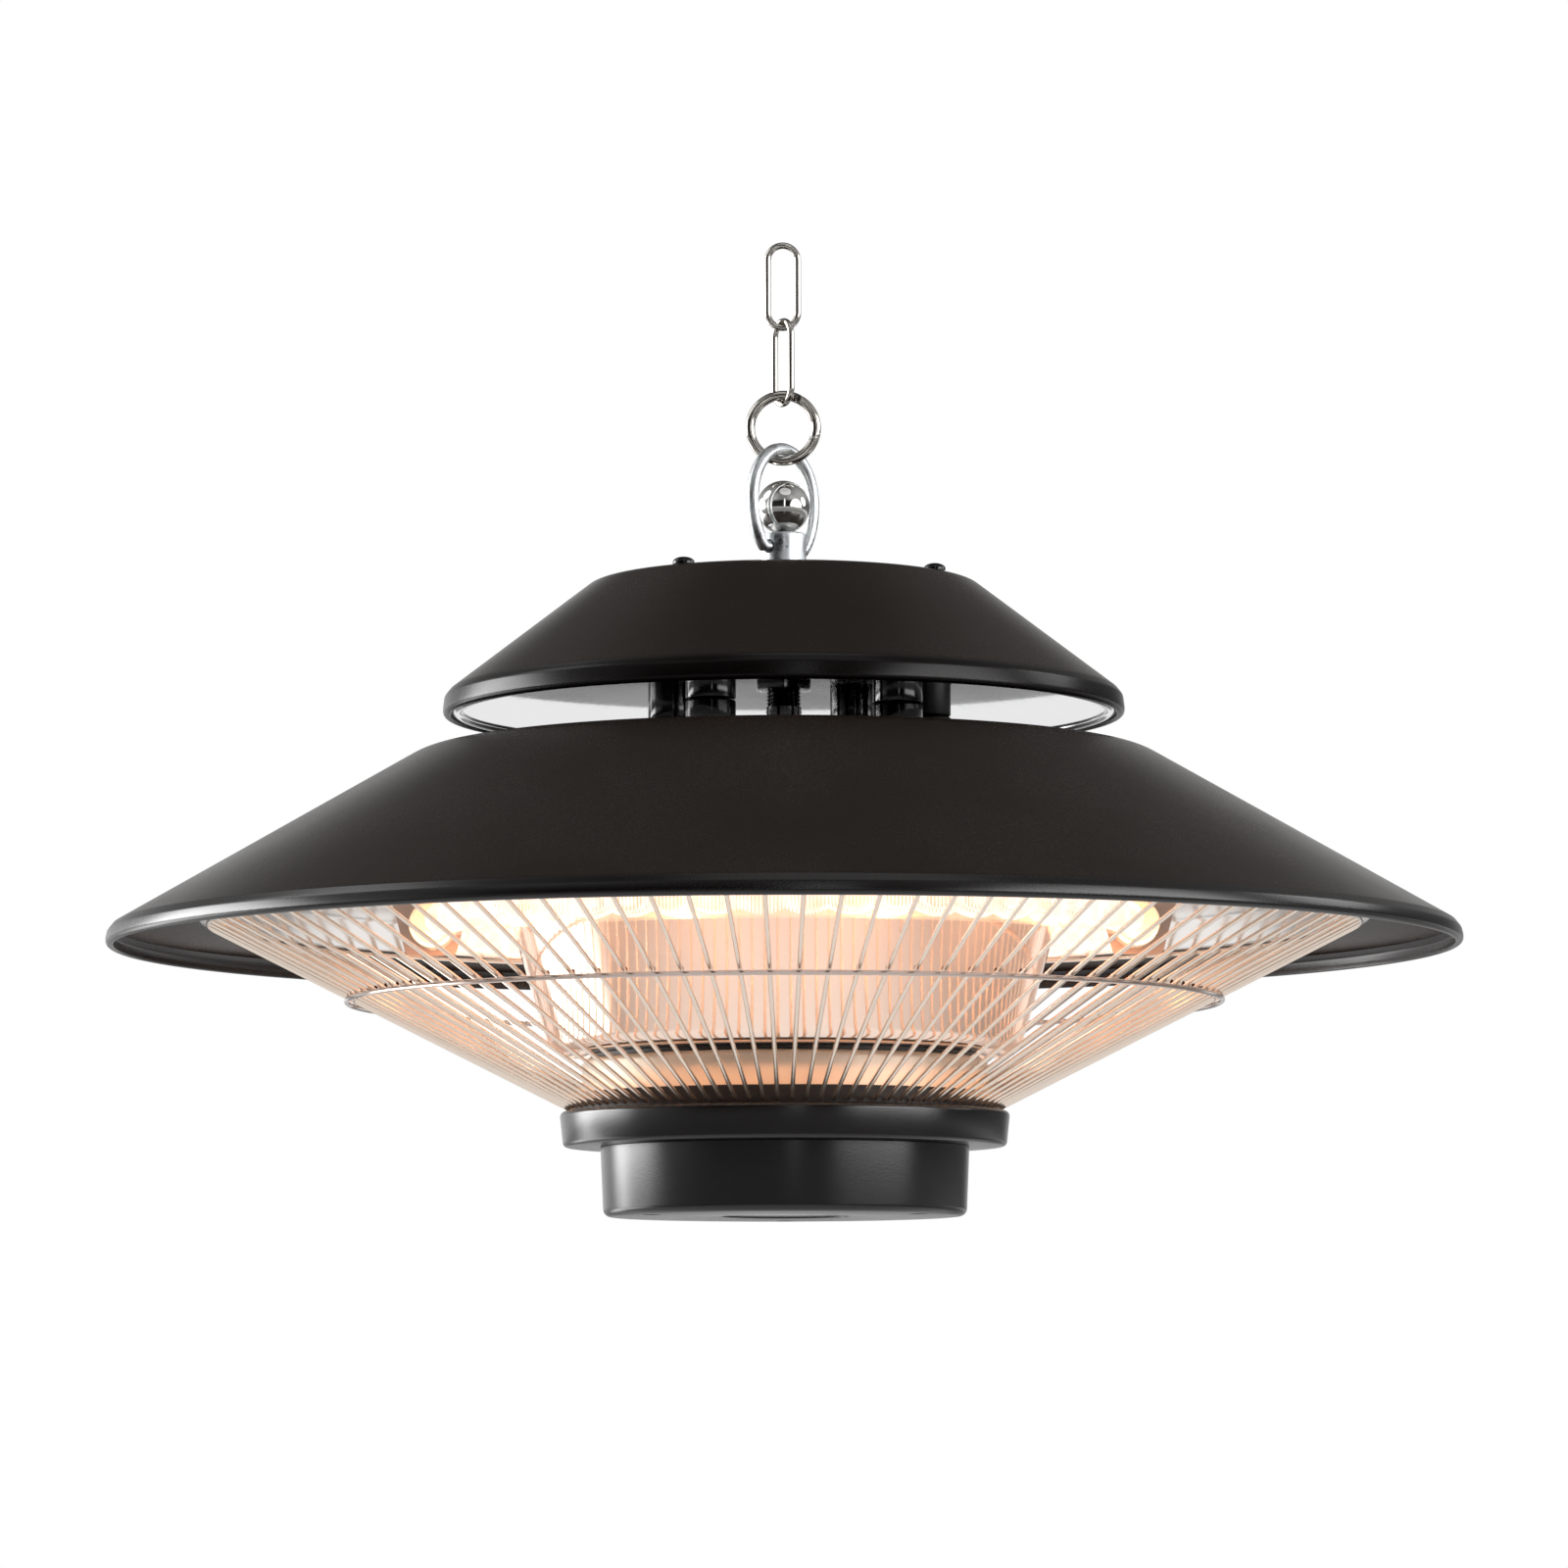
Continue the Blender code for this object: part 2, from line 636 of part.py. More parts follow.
def bail_points(steps=BAIL_STEPS):
    """Half egg, widest at BAIL_WIDE_HEIGHT, whose feet turn in along the pivot."""
    foot = STEM_RADIUS + BAIL_WIRE + GAP
    lower = BAIL_WIDE_HEIGHT / math.sqrt(1 - (foot / BAIL_HALF_WIDTH) ** 2)
    upper = BAIL_HEIGHT - BAIL_WIDE_HEIGHT
    start = -math.asin(BAIL_WIDE_HEIGHT / lower)
    line = [(STEM_RADIUS - BAIL_TIP_DEPTH, 0)]
    for step in range(steps + 1):
        angle = start + (math.pi - 2 * start) * step / steps
        rise = (upper if math.sin(angle) > 0 else lower) * math.sin(angle)
        line.append((BAIL_HALF_WIDTH * math.cos(angle), BAIL_WIDE_HEIGHT + rise))
    line.append((BAIL_TIP_DEPTH - STEM_RADIUS, 0))
    return [(across * math.cos(BAIL_TURN), across * math.sin(BAIL_TURN), rise)
            for across, rise in line]


def make_bail():
    obj = wire_mesh("hanging_bail", bail_points(), BAIL_WIRE)
    add(obj, ZINC, BAIL, (0, 0, PIVOT_Z))


# Stem, ball, tube and nuts

def make_stem():
    bore = STEM_BORE_DEPTH
    outline = [
        (0, STEM_HEIGHT),
        (STEM_RADIUS - STEM_CHAMFER, STEM_HEIGHT),
        (STEM_RADIUS, STEM_HEIGHT - STEM_CHAMFER),
        (STEM_RADIUS, 0),
        (TUBE_HOLE_RADIUS, 0),
        (TUBE_HOLE_RADIUS, bore),
        (0, bore),
    ]
    stem = turned("suspension_stem", outline, ZINC, HEATER, (0, 0, up(STEM_BASE)), STEM_STEPS)
    radius = BAIL_WIRE + BORE_CLEARANCE
    mesh = cylinder_mesh("cut_bail_hole", [(0, 0)], radius,
                         -STEM_RADIUS - OVERRUN, STEM_RADIUS + OVERRUN, SMALL_STEPS)
    mesh.transform(Matrix.Rotation(BAIL_TURN, 4, "Z") @ Matrix.Rotation(QUARTER, 4, "Y"))
    cut(stem, cutter("cut_bail_hole", mesh, HEATER, (0, 0, PIVOT_Z)))


def make_ball():
    outline = [(0, BALL_RADIUS)]
    for step in range(1, BALL_STEPS + 1):
        angle = QUARTER + (BALL_FLAT_ANGLE - QUARTER) * step / BALL_STEPS
        outline.append((BALL_RADIUS * math.cos(angle), BALL_RADIUS * math.sin(angle)))
    flat = BALL_RADIUS * math.sin(BALL_FLAT_ANGLE)
    outline.append((0, flat))
    centre = up(STEM_BASE + STEM_HEIGHT + GAP) - flat
    turned("ball_finial", outline, CHROME, HEATER, (0, 0, centre), STEM_STEPS)


def make_tube():
    length = TUBE_TOP - TUBE_BASE
    outline = [(TUBE_BORE_RADIUS, length), (TUBE_RADIUS, length),
               (TUBE_RADIUS, 0), (TUBE_BORE_RADIUS, 0)]
    turned("hanging_tube", outline, BLACK_STEEL, HEATER, (0, 0, up(TUBE_BASE)), SMALL_STEPS,
           closed=True)


def make_nut(name, base, material, washer=False):
    """A hexagon nut on the central tube, with a round washer face where washer is set."""
    mesh = cylinder_mesh(name, [(0, 0)], NUT_RADIUS, 0, NUT_HEIGHT, HEXAGON)
    obj = add(bpy.data.objects.new(name, mesh), material, HEATER, (0, 0, up(base)))
    if washer:
        face = cylinder_mesh(f"join_{name}", [(0, 0)], WASHER_RADIUS, 0, WASHER_HEIGHT, STEM_STEPS)
        cut(obj, cutter(f"join_{name}", face, HEATER, (0, 0, up(base))), "UNION")
    drill(obj, "bore", [(0, 0)], TUBE_HOLE_RADIUS, base - OVERRUN, base + NUT_HEIGHT + OVERRUN,
          SMALL_STEPS)


def make_nuts():
    make_nut("stem_nut", UPPER_TOP - UPPER_WALL - GAP - NUT_HEIGHT, ZINC)
    make_nut("pan_nut", PAN_TOP + GAP, ZINC)
    make_nut("shade_nut", SHADE_TOP + GAP, BLACK_STEEL, washer=True)
    make_nut("column_nut", COLUMN_BASE + COLUMN_WALL + GAP, ZINC)
    make_nut("housing_nut", HOUSING_NUT_BASE, ZINC)


# Shades

def shade_outline(radius, height, shoulder, fillet, lip_height, lip_step):
    """From the tube's hole out along the flat top, down the cone and round the hem of the lip."""
    points = [
        (TUBE_HOLE_RADIUS, height),
        (shoulder, height),
        (radius - lip_step, lip_height),
        (radius, lip_height - lip_step),
        (radius, 0),
        (radius - LIP_RETURN, 0),
    ]
    return rounded(points, {1: fillet, 4: LIP_CORNER}, steps=2)


def make_upper_shade():
    outline = shade_outline(UPPER_RADIUS, UPPER_HEIGHT, UPPER_SHOULDER_RADIUS,
                            UPPER_SHOULDER_FILLET, UPPER_LIP_HEIGHT, UPPER_LIP_STEP)
    shade = turned("upper_shade", outline, DARK_COAT, HEATER, (0, 0, up(UPPER_BASE)),
                   UPPER_STEPS, wall=UPPER_WALL)
    base, top = UPPER_TOP - UPPER_WALL - OVERRUN, UPPER_TOP + OVERRUN
    drill(shade, "screws", SHADE_SCREW_PLACES, SCREW_SHANK_RADIUS + BORE_CLEARANCE, base, top)
    drill(shade, "gland", [(0, GLAND_Y)], GLAND_NECK_RADIUS + BORE_CLEARANCE, base, top)


def make_pan():
    outline = [
        (TUBE_HOLE_RADIUS, PAN_WALL),
        (PAN_FLAT_RADIUS, PAN_WALL),
        (PAN_BEAD_RADIUS - PAN_BEAD_DEPTH / 2, PAN_WALL - PAN_BEAD_DEPTH),
        (PAN_BEAD_RADIUS + PAN_BEAD_DEPTH / 2, PAN_WALL - PAN_BEAD_DEPTH),
        (PAN_RADIUS, PAN_WALL),
        (PAN_RADIUS, PAN_RIM_HEIGHT),
    ]
    pan = turned("upper_reflector_pan", outline, POLISHED, HEATER, (0, 0, up(PAN_BASE)),
                 UPPER_STEPS, wall=PAN_WALL)
    base, top = PAN_BASE - OVERRUN, PAN_TOP + OVERRUN
    drill(pan, "posts", POST_PLACES, SPIGOT_RADIUS + BORE_CLEARANCE, base, top)
    drill(pan, "cable", [CABLE_PLACE], CABLE_HOLE_RADIUS, base, top)


def make_main_shade():
    outline = shade_outline(SHADE_RADIUS, SHADE_HEIGHT, SHADE_SHOULDER_RADIUS,
                            SHADE_SHOULDER_FILLET, SHADE_LIP_HEIGHT, SHADE_LIP_STEP)
    shade = turned("main_shade", outline, DARK_COAT, HEATER, (0, 0, up(SHADE_BASE)),
                   SHADE_STEPS, wall=SHADE_WALL)
    base, top = SHADE_TOP - SHADE_WALL - OVERRUN, SHADE_TOP + OVERRUN
    drill(shade, "posts", POST_PLACES, SPIGOT_RADIUS + BORE_CLEARANCE, base, top)
    drill(shade, "cable", [CABLE_PLACE], CABLE_HOLE_RADIUS, base, top)


def screw_outline(head_radius, head_height, shank_radius, shank_length):
    return rounded([
        (0, head_height),
        (head_radius, head_height),
        (head_radius, 0),
        (shank_radius, 0),
        (shank_radius, -shank_length),
        (0, -shank_length),
    ], {1: head_height * HEAD_ROUND_SHARE}, steps=2)


def make_upper_fasteners():
    screw = screw_outline(SCREW_HEAD_RADIUS, SCREW_HEAD_HEIGHT, SCREW_SHANK_RADIUS,
                          SCREW_SHANK_LENGTH)
    length = UPPER_TOP - UPPER_WALL - PAN_TOP - 2 * GAP
    bore = SCREW_SHANK_RADIUS + BORE_CLEARANCE
    standoff = [(0, length - STANDOFF_BORE_DEPTH), (bore, length - STANDOFF_BORE_DEPTH),
                (bore, length), (STANDOFF_RADIUS, length), (STANDOFF_RADIUS, 0), (0, 0)]
    for index, (x, y) in enumerate(SHADE_SCREW_PLACES, 1):
        turned(f"shade_screw_{index}", screw, BLACK_STEEL, HEATER,
               (x, y, up(UPPER_TOP + GAP)), SCREW_STEPS)
        turned(f"shade_standoff_{index}", standoff, ZINC, HEATER,
               (x, y, up(PAN_TOP + GAP)), SCREW_STEPS)


def make_posts():
    below = SHADE_WALL + GAP + SPIGOT_LENGTH
    above = POST_HEIGHT + PAN_WALL + GAP + SPIGOT_LENGTH
    outline = [
        (0, above), (SPIGOT_RADIUS, above), (SPIGOT_RADIUS, POST_HEIGHT),
        (POST_RADIUS, POST_HEIGHT), (POST_RADIUS, 0),
        (SPIGOT_RADIUS, 0), (SPIGOT_RADIUS, -below), (0, -below),
    ]
    for index, (x, y) in enumerate(POST_PLACES, 1):
        turned(f"spacer_post_{index}", outline, BLACK_STEEL, HEATER,
               (x, y, up(POST_BASE)), SMALL_STEPS)


# Cable way

def make_sleeve():
    outline = [
        (CABLE_HOLE_RADIUS, POST_HEIGHT), (SLEEVE_RADIUS, POST_HEIGHT),
        (SLEEVE_RADIUS, SLEEVE_FOOT_HEIGHT), (SLEEVE_FOOT_RADIUS, SLEEVE_FOOT_HEIGHT),
        (SLEEVE_FOOT_RADIUS, 0), (CABLE_HOLE_RADIUS, 0),
    ]
    turned("wiring_sleeve", outline, BLACK_PLASTIC, HEATER, (*CABLE_PLACE, up(POST_BASE)),
           SMALL_STEPS, closed=True)


def make_gland():
    """Clamped round the edge of its hole: flange and dome above the shade, nut below it."""
    under = -UPPER_WALL - 2 * GAP
    outline = [
        (CABLE_HOLE_RADIUS, GLAND_NUT_HEIGHT + GLAND_DOME_HEIGHT),
        (GLAND_DOME_RADIUS, GLAND_NUT_HEIGHT + GLAND_DOME_HEIGHT),
        (GLAND_NUT_RADIUS, GLAND_NUT_HEIGHT),
        (GLAND_NUT_RADIUS, 0),
        (GLAND_NECK_RADIUS, 0),
        (GLAND_NECK_RADIUS, under),
        (GLAND_NUT_RADIUS, under),
        (GLAND_NUT_RADIUS, under - GLAND_NUT_HEIGHT),
        (CABLE_HOLE_RADIUS, under - GLAND_NUT_HEIGHT),
    ]
    turned("cable_gland", outline, BLACK_PLASTIC, HEATER, (0, GLAND_Y, up(UPPER_TOP + GAP)),
           SMALL_STEPS, closed=True)


def cable_points(steps=CABLE_STEPS):
    """Down from the gland, over to the sleeve on an S curve, and straight down to the terminals."""
    start = UPPER_TOP - UPPER_WALL - GLAND_NUT_HEIGHT / 2
    bend_end = PAN_TOP + GLAND_NUT_HEIGHT
    points = [(0, GLAND_Y, start)]
    for step in range(steps + 1):
        share = step / steps
        ease = share * share * (3 - 2 * share)
        drop = CABLE_STRAIGHT_SHARE + (1 - CABLE_STRAIGHT_SHARE) * share
        height = start + (bend_end - start) * drop
        points.append((CABLE_X * ease, GLAND_Y + (CABLE_Y - GLAND_Y) * ease, height))
    points.append((CABLE_X, CABLE_Y, TERMINAL_BASE + TERMINAL_SIZE[2] + GAP))
    return points


def make_cable():
    obj = wire_mesh("internal_cable", cable_points(), CABLE_RADIUS, sides=PLAIN_WIRE)
    add(obj, BLACK_PLASTIC, HEATER, (0, 0, up(0)))


# Reflector, lamps and column

def make_plate():
    inner = PLATE_RADIUS - PLATE_RIM_WIDTH
    outline = [
        (TUBE_HOLE_RADIUS, PLATE_DISH + PLATE_WALL),
        (inner - PLATE_SLOPE_WIDTH, PLATE_DISH + PLATE_WALL),
        (inner, PLATE_WALL),
        (PLATE_RADIUS, PLATE_WALL),
        (PLATE_RADIUS, PLATE_TURNUP),
    ]
    plate = turned("reflector_plate", outline, POLISHED, HEATER,
                   (0, 0, up(PLATE_BASE - PLATE_DISH)), SHADE_STEPS, wall=PLATE_WALL)
    drill(plate, "cable", [CABLE_PLACE], CABLE_HOLE_RADIUS, PLATE_BASE - OVERRUN,
          PLATE_TOP + OVERRUN)


def make_spacer():
    outline = [(TUBE_HOLE_RADIUS, SPACER_HEIGHT), (SPACER_RADIUS, SPACER_HEIGHT),
               (SPACER_RADIUS, 0), (TUBE_HOLE_RADIUS, 0)]
    turned("reflector_spacer", outline, ZINC, HEATER, (0, 0, up(SPACER_BASE)),
           SMALL_STEPS, closed=True)


def lamp_arc(foot):
    """Half a ring in plan. Straight legs run along Y from foot to where the bend starts."""
    points = [(LAMP_LEG_X, foot, 0)]
    for step in range(LAMP_STEPS + 1):
        angle = LAMP_BEND_START + (math.pi - 2 * LAMP_BEND_START) * step / LAMP_STEPS
        points.append((LAMP_CIRCLE * math.cos(angle), LAMP_CIRCLE * math.sin(angle), 0))
    points.append((-LAMP_LEG_X, foot, 0))
    return points


def make_lamp(side, turn):
    """One half ring: a clear tube, its element and the caps on its two ends."""
    height = up(LAMP_HEIGHT)
    points = lamp_arc(LAMP_FACE + LAMP_CAP_FLOOR + GAP)
    tube = wire_mesh(f"lamp_tube_{side}", points, LAMP_TUBE_RADIUS, caps=False)
    shell = tube.modifiers.new("Wall", "SOLIDIFY")
    shell.thickness = LAMP_TUBE_WALL
    shell.offset = -1
    add(tube, QUARTZ, HEATER, (0, 0, height)).rotation_euler = (0, 0, turn)

    element = wire_mesh(f"heating_element_{side}", points, FILAMENT_RADIUS, sides=PLAIN_WIRE)
    add(element, ELEMENT, HEATER, (0, 0, height)).rotation_euler = (0, 0, turn)

    bore = LAMP_TUBE_RADIUS + BORE_CLEARANCE
    outline = [(0, LAMP_CAP_FLOOR), (bore, LAMP_CAP_FLOOR), (bore, LAMP_CAP_LENGTH),
               (LAMP_CAP_RADIUS, LAMP_CAP_LENGTH), (LAMP_CAP_RADIUS, 0), (0, 0)]
    for leg_x in (LAMP_LEG_X, -LAMP_LEG_X):
        seat = Matrix.Rotation(turn, 3, "Z") @ Vector((leg_x, LAMP_FACE, height))
        end = "right" if seat.x > 0 else "left"
        cap = turned(f"lamp_cap_{side}_{end}", outline, CERAMIC, HEATER, seat, SMALL_STEPS)
        cap.rotation_euler = (-QUARTER, 0, turn)


def make_bracket(name, side):
    """A flat plate that hangs from the reflector between the ends of the two lamps."""
    top = LAMP_DROP - GAP
    points = rounded([
        (-BRACKET_TOP_WIDTH / 2, top),
        (BRACKET_TOP_WIDTH / 2, top),
        (BRACKET_FOOT_WIDTH / 2, -BRACKET_FOOT_DEPTH),
        (-BRACKET_FOOT_WIDTH / 2, -BRACKET_FOOT_DEPTH),
    ], {2: BRACKET_CORNER, 3: BRACKET_CORNER})
    curve = bpy.data.curves.new(name, "CURVE")
    curve.dimensions = "2D"
    curve.fill_mode = "BOTH"
    curve.extrude = BRACKET_THICKNESS / 2
    spline = curve.splines.new("POLY")
    spline.points.add(len(points) - 1)
    for node, (across, rise) in zip(spline.points, points):
        node.co = (across, rise, 0, 1.0)
    spline.use_cyclic_u = True
    obj = add(bpy.data.objects.new(name, curve), STEEL, HEATER,
              (side * LAMP_CIRCLE, 0, up(LAMP_HEIGHT)))
    obj.rotation_euler = (QUARTER, 0, 0)


def make_column():
    outline = rounded([
        (COLUMN_TOP_RADIUS, COLUMN_HEIGHT),
        (COLUMN_FOOT_RADIUS, 0),
        (TUBE_HOLE_RADIUS, 0),
    ], {1: COLUMN_FOOT_CORNER}, steps=3)
    column = turned("central_column", outline, POLISHED, HEATER, (0, 0, up(COLUMN_BASE)),
                    HOUSING_STEPS, wall=COLUMN_WALL)
    drill(column, "cable", [CABLE_PLACE], CABLE_HOLE_RADIUS, COLUMN_BASE - OVERRUN,
          COLUMN_BASE + COLUMN_WALL + OVERRUN)

    outline = [(TUBE_HOLE_RADIUS, GASKET_THICKNESS), (GASKET_RADIUS, GASKET_THICKNESS),
               (GASKET_RADIUS, 0), (TUBE_HOLE_RADIUS, 0)]
    gasket = turned("column_gasket", outline, BLACK_PLASTIC, HEATER, (0, 0, up(GASKET_BASE)),
                    INNER_STEPS, closed=True)
    drill(gasket, "cable", [CABLE_PLACE], CABLE_HOLE_RADIUS, GASKET_BASE - OVERRUN,
          GASKET_BASE + GASKET_THICKNESS + OVERRUN)

    outline = rounded([
        (TUBE_HOLE_RADIUS, LOWER_RING_HEIGHT),
        (LOWER_RING_RADIUS, LOWER_RING_HEIGHT),
        (LOWER_RING_RADIUS, 0),
    ], {1: LOWER_RING_CORNER}, steps=2)
    ring = turned("column_lower_ring", outline, POLISHED, HEATER, (0, 0, up(LOWER_RING_BASE)),
                  HOUSING_STEPS, wall=COLUMN_WALL)
    drill(ring, "cable", [CABLE_PLACE], CABLE_HOLE_RADIUS, LOWER_RING_TOP - COLUMN_WALL - OVERRUN,
          LOWER_RING_TOP + OVERRUN)


# Guard

def make_guard():
    """Straight wires between a foot hoop and a top hoop, as one welded lattice."""
    shape = bmesh.new()
    bmesh.ops.create_cone(
        shape, cap_ends=False, segments=WIRE_COUNT, radius1=GUARD_FOOT_RADIUS,
        radius2=GUARD_TOP_RADIUS, depth=GUARD_TOP - GUARD_FOOT)
    mesh = bpy.data.meshes.new("guard_cage")
    shape.to_mesh(mesh)
    shape.free()
    cage = add(bpy.data.objects.new("guard_cage", mesh), CHROME, HEATER,
               (0, 0, up((GUARD_TOP + GUARD_FOOT) / 2)))
    lattice = cage.modifiers.new("Wires", "WIREFRAME")
    lattice.thickness = 2 * WIRE_RADIUS
    lattice.offset = 0
    lattice.use_even_offset = True
    lattice.use_boundary = True

    run = GUARD_TOP_RADIUS - GUARD_FOOT_RADIUS
    rise = GUARD_TOP - GUARD_FOOT
    out = WIRE_RADIUS * LATTICE_STAND_OUT + HOOP_WIRE + GAP
    slope = math.atan2(rise, run)
    radius = GUARD_FOOT_RADIUS + run * HOOP_HEIGHT_SHARE + out * math.sin(slope)
    height = GUARD_FOOT + rise * HOOP_HEIGHT_SHARE - out * math.cos(slope)
    points = []
    for step in range(HOOP_STEPS):
        angle = 2 * math.pi * step / HOOP_STEPS
        points.append((radius * math.cos(angle), radius * math.sin(angle), 0))
    hoop = wire_mesh("guard_hoop", points, HOOP_WIRE, cyclic=True, sides=SQUARE_WIRE)
    add(hoop, CHROME, HEATER, (0, 0, up(height)))

    outer = GUARD_FOOT_RADIUS - WIRE_RADIUS * LATTICE_STAND_OUT - 2 * GAP
    inner = LOWER_RING_RADIUS + COLLAR_CLEARANCE
    outline = [(inner, COLLAR_HEIGHT), (outer, COLLAR_HEIGHT), (outer, 0), (inner, 0)]
    turned("guard_collar", outline, DARK_COAT, HEATER, (0, 0, up(LOWER_RING_BASE)),
           HOUSING_STEPS, closed=True)


# Control housing

def make_flange():
    outer, foot = FLANGE_RADIUS, FLANGE_RADIUS - FLANGE_DRAFT
    wall, corner = FLANGE_WALL, FLANGE_CORNER
    outline = [
        (TUBE_HOLE_RADIUS, FLANGE_HEIGHT),
        (outer, FLANGE_HEIGHT),
        (foot, 0),
        (FLANGE_OPENING_RADIUS, 0),
        (FLANGE_OPENING_RADIUS, wall),
        (foot - wall, wall),
        (outer - wall, FLANGE_HEIGHT - wall),
        (TUBE_HOLE_RADIUS, FLANGE_HEIGHT - wall),
    ]
    outline = rounded(outline, {1: corner, 2: corner}, steps=2)
    flange = turned("housing_flange", outline, DARK_COAT, HEATER, (0, 0, up(FLANGE_BASE)),
                    HOUSING_STEPS, closed=True)
    drill(flange, "cable", [CABLE_PLACE], CABLE_HOLE_RADIUS, FLANGE_TOP - wall - OVERRUN,
          FLANGE_TOP + OVERRUN)
    drill(flange, "screws", CAP_SCREW_PLACES, CAP_SCREW_SHANK_RADIUS + BORE_CLEARANCE,
          FLANGE_BASE - OVERRUN, FLANGE_BASE + wall + OVERRUN)


def make_cap():
    outer, foot = CAP_RADIUS, CAP_RADIUS - CAP_DRAFT
    wall = CAP_WALL
    bore = LENS_RADIUS + BORE_CLEARANCE
    ledge = LENS_RECESS + LENS_THICKNESS + GAP
    opening = bore - LENS_LEDGE
    rib_in, rib_out = BOARD_RIB_RADIUS, BOARD_RIB_RADIUS + BOARD_RIB_WIDTH
    rib_top = CAP_FLOOR + BOARD_HEIGHT
    outline = [
        (outer, CAP_HEIGHT),
        (foot, 0),
        (bore, 0),
        (bore, ledge),
        (opening, ledge),
        (opening, CAP_FLOOR),
        (rib_in, CAP_FLOOR),
        (rib_in, rib_top),
        (rib_out, rib_top),
        (rib_out, CAP_FLOOR),
        (foot - wall, CAP_FLOOR),
        (outer - wall, CAP_HEIGHT),
    ]
    outline = rounded(outline, {1: CAP_CORNER}, steps=2)
    cap = turned("housing_cap", outline, DARK_COAT, HEATER, (0, 0, up(0)), HOUSING_STEPS,
                 closed=True)
    base = CAP_FLOOR / 2
    mesh = cylinder_mesh("join_bosses", CAP_SCREW_PLACES, BOSS_RADIUS, base, CAP_HEIGHT, SMALL_STEPS)
    cut(cap, cutter("join_bosses", mesh, HEATER, (0, 0, up(0))), "UNION")
    drill(cap, "heads", CAP_SCREW_PLACES, CAP_SCREW_HEAD_RADIUS + BORE_CLEARANCE, -OVERRUN,
          SCREW_SEAT)
    drill(cap, "shanks", CAP_SCREW_PLACES, CAP_SCREW_SHANK_RADIUS + BORE_CLEARANCE, base,
          CAP_HEIGHT + OVERRUN)


def make_cap_screws():
    length = FLANGE_BASE + FLANGE_WALL - SCREW_SEAT
    outline = screw_outline(CAP_SCREW_HEAD_RADIUS, CAP_SCREW_HEAD_HEIGHT,
                            CAP_SCREW_SHANK_RADIUS, length)
    for index, (x, y) in enumerate(CAP_SCREW_PLACES, 1):
        screw = turned(f"cap_screw_{index}", outline, BLACK_STEEL, HEATER,
                       (x, y, up(SCREW_SEAT - GAP)), SCREW_STEPS)
        screw.rotation_euler = (math.pi, 0, 0)


def make_lens():
    outline = [(0, LENS_THICKNESS), (LENS_RADIUS, LENS_THICKNESS), (LENS_RADIUS, 0), (0, 0)]
    turned("receiver_lens", outline, LENS, HEATER, (0, 0, up(LENS_RECESS)), INNER_STEPS)


def make_block(name, size, x, y, base, material):
    shape = bmesh.new()
    bmesh.ops.create_cube(shape, size=1)
    bmesh.ops.scale(shape, verts=shape.verts, vec=size)
    mesh = bpy.data.meshes.new(name)
    shape.to_mesh(mesh)
    shape.free()
    obj = add(bpy.data.objects.new(name, mesh), material, HEATER, (x, y, up(base + size[2] / 2)))
    edge = obj.modifiers.new("Edge", "BEVEL")
    edge.width = BLOCK_BEVEL
    edge.segments = 1


def make_controls():
    outline = [(BOARD_HOLE_RADIUS, BOARD_THICKNESS), (BOARD_RADIUS, BOARD_THICKNESS),
               (BOARD_RADIUS, 0), (BOARD_HOLE_RADIUS, 0)]
    turned("control_board", outline, BOARD, HEATER, (0, 0, up(BOARD_BASE)), INNER_STEPS,
           closed=True)
    base = BOARD_TOP + GAP
    make_block("terminal_block", TERMINAL_SIZE, CABLE_X, CABLE_Y, TERMINAL_BASE, CERAMIC)
    make_block("heat_relay_1", RELAY_SIZE, RELAY_X, -RELAY_PITCH / 2, base, BLACK_PLASTIC)
    make_block("heat_relay_2", RELAY_SIZE, RELAY_X, RELAY_PITCH / 2, base, BLACK_PLASTIC)


# Places that several pieces share

SHADE_SCREW_PLACES = around(SHADE_SCREW_COUNT, SHADE_SCREW_CIRCLE, SHADE_SCREW_ANGLE)
POST_PLACES = around(POST_COUNT, POST_CIRCLE, POST_ANGLE)
CAP_SCREW_PLACES = around(CAP_SCREW_COUNT, CAP_SCREW_CIRCLE, CAP_SCREW_ANGLE)
CABLE_PLACE = (CABLE_X, CABLE_Y)

# Build

clear_scene()
PARTS = new_collection("hanging_patio_heater")
CUTTERS = new_collection("cutters")

DARK_COAT = finish("dark_powder_coat", (0.022, 0.019, 0.017), 0.42)
BLACK_STEEL = finish("black_steel", (0.010, 0.010, 0.010), 0.35, 0.6)
BLACK_PLASTIC = finish("black_plastic", (0.012, 0.012, 0.012), 0.5)
NICKEL = finish("nickel_plate", (0.62, 0.59, 0.55), 0.12, 1.0)
CHROME = finish("chrome_plate", (0.75, 0.74, 0.72), 0.08, 1.0)
ZINC = finish("zinc_plate", (0.52, 0.56, 0.58), 0.35, 1.0)
STEEL = finish("spring_steel", (0.45, 0.42, 0.38), 0.35, 1.0)
POLISHED = finish("polished_aluminium", (0.85, 0.85, 0.84), 0.08, 1.0)
QUARTZ = finish("quartz_tube", (1.0, 0.62, 0.30), 0.05)
ELEMENT = finish("heating_element", (1.0, 0.45, 0.12), 0.6)
CERAMIC = finish("ceramic", (0.80, 0.77, 0.70), 0.55)
LENS = finish("receiver_lens", (0.35, 0.35, 0.36), 0.15)
BOARD = finish("circuit_board", (0.03, 0.16, 0.06), 0.5)

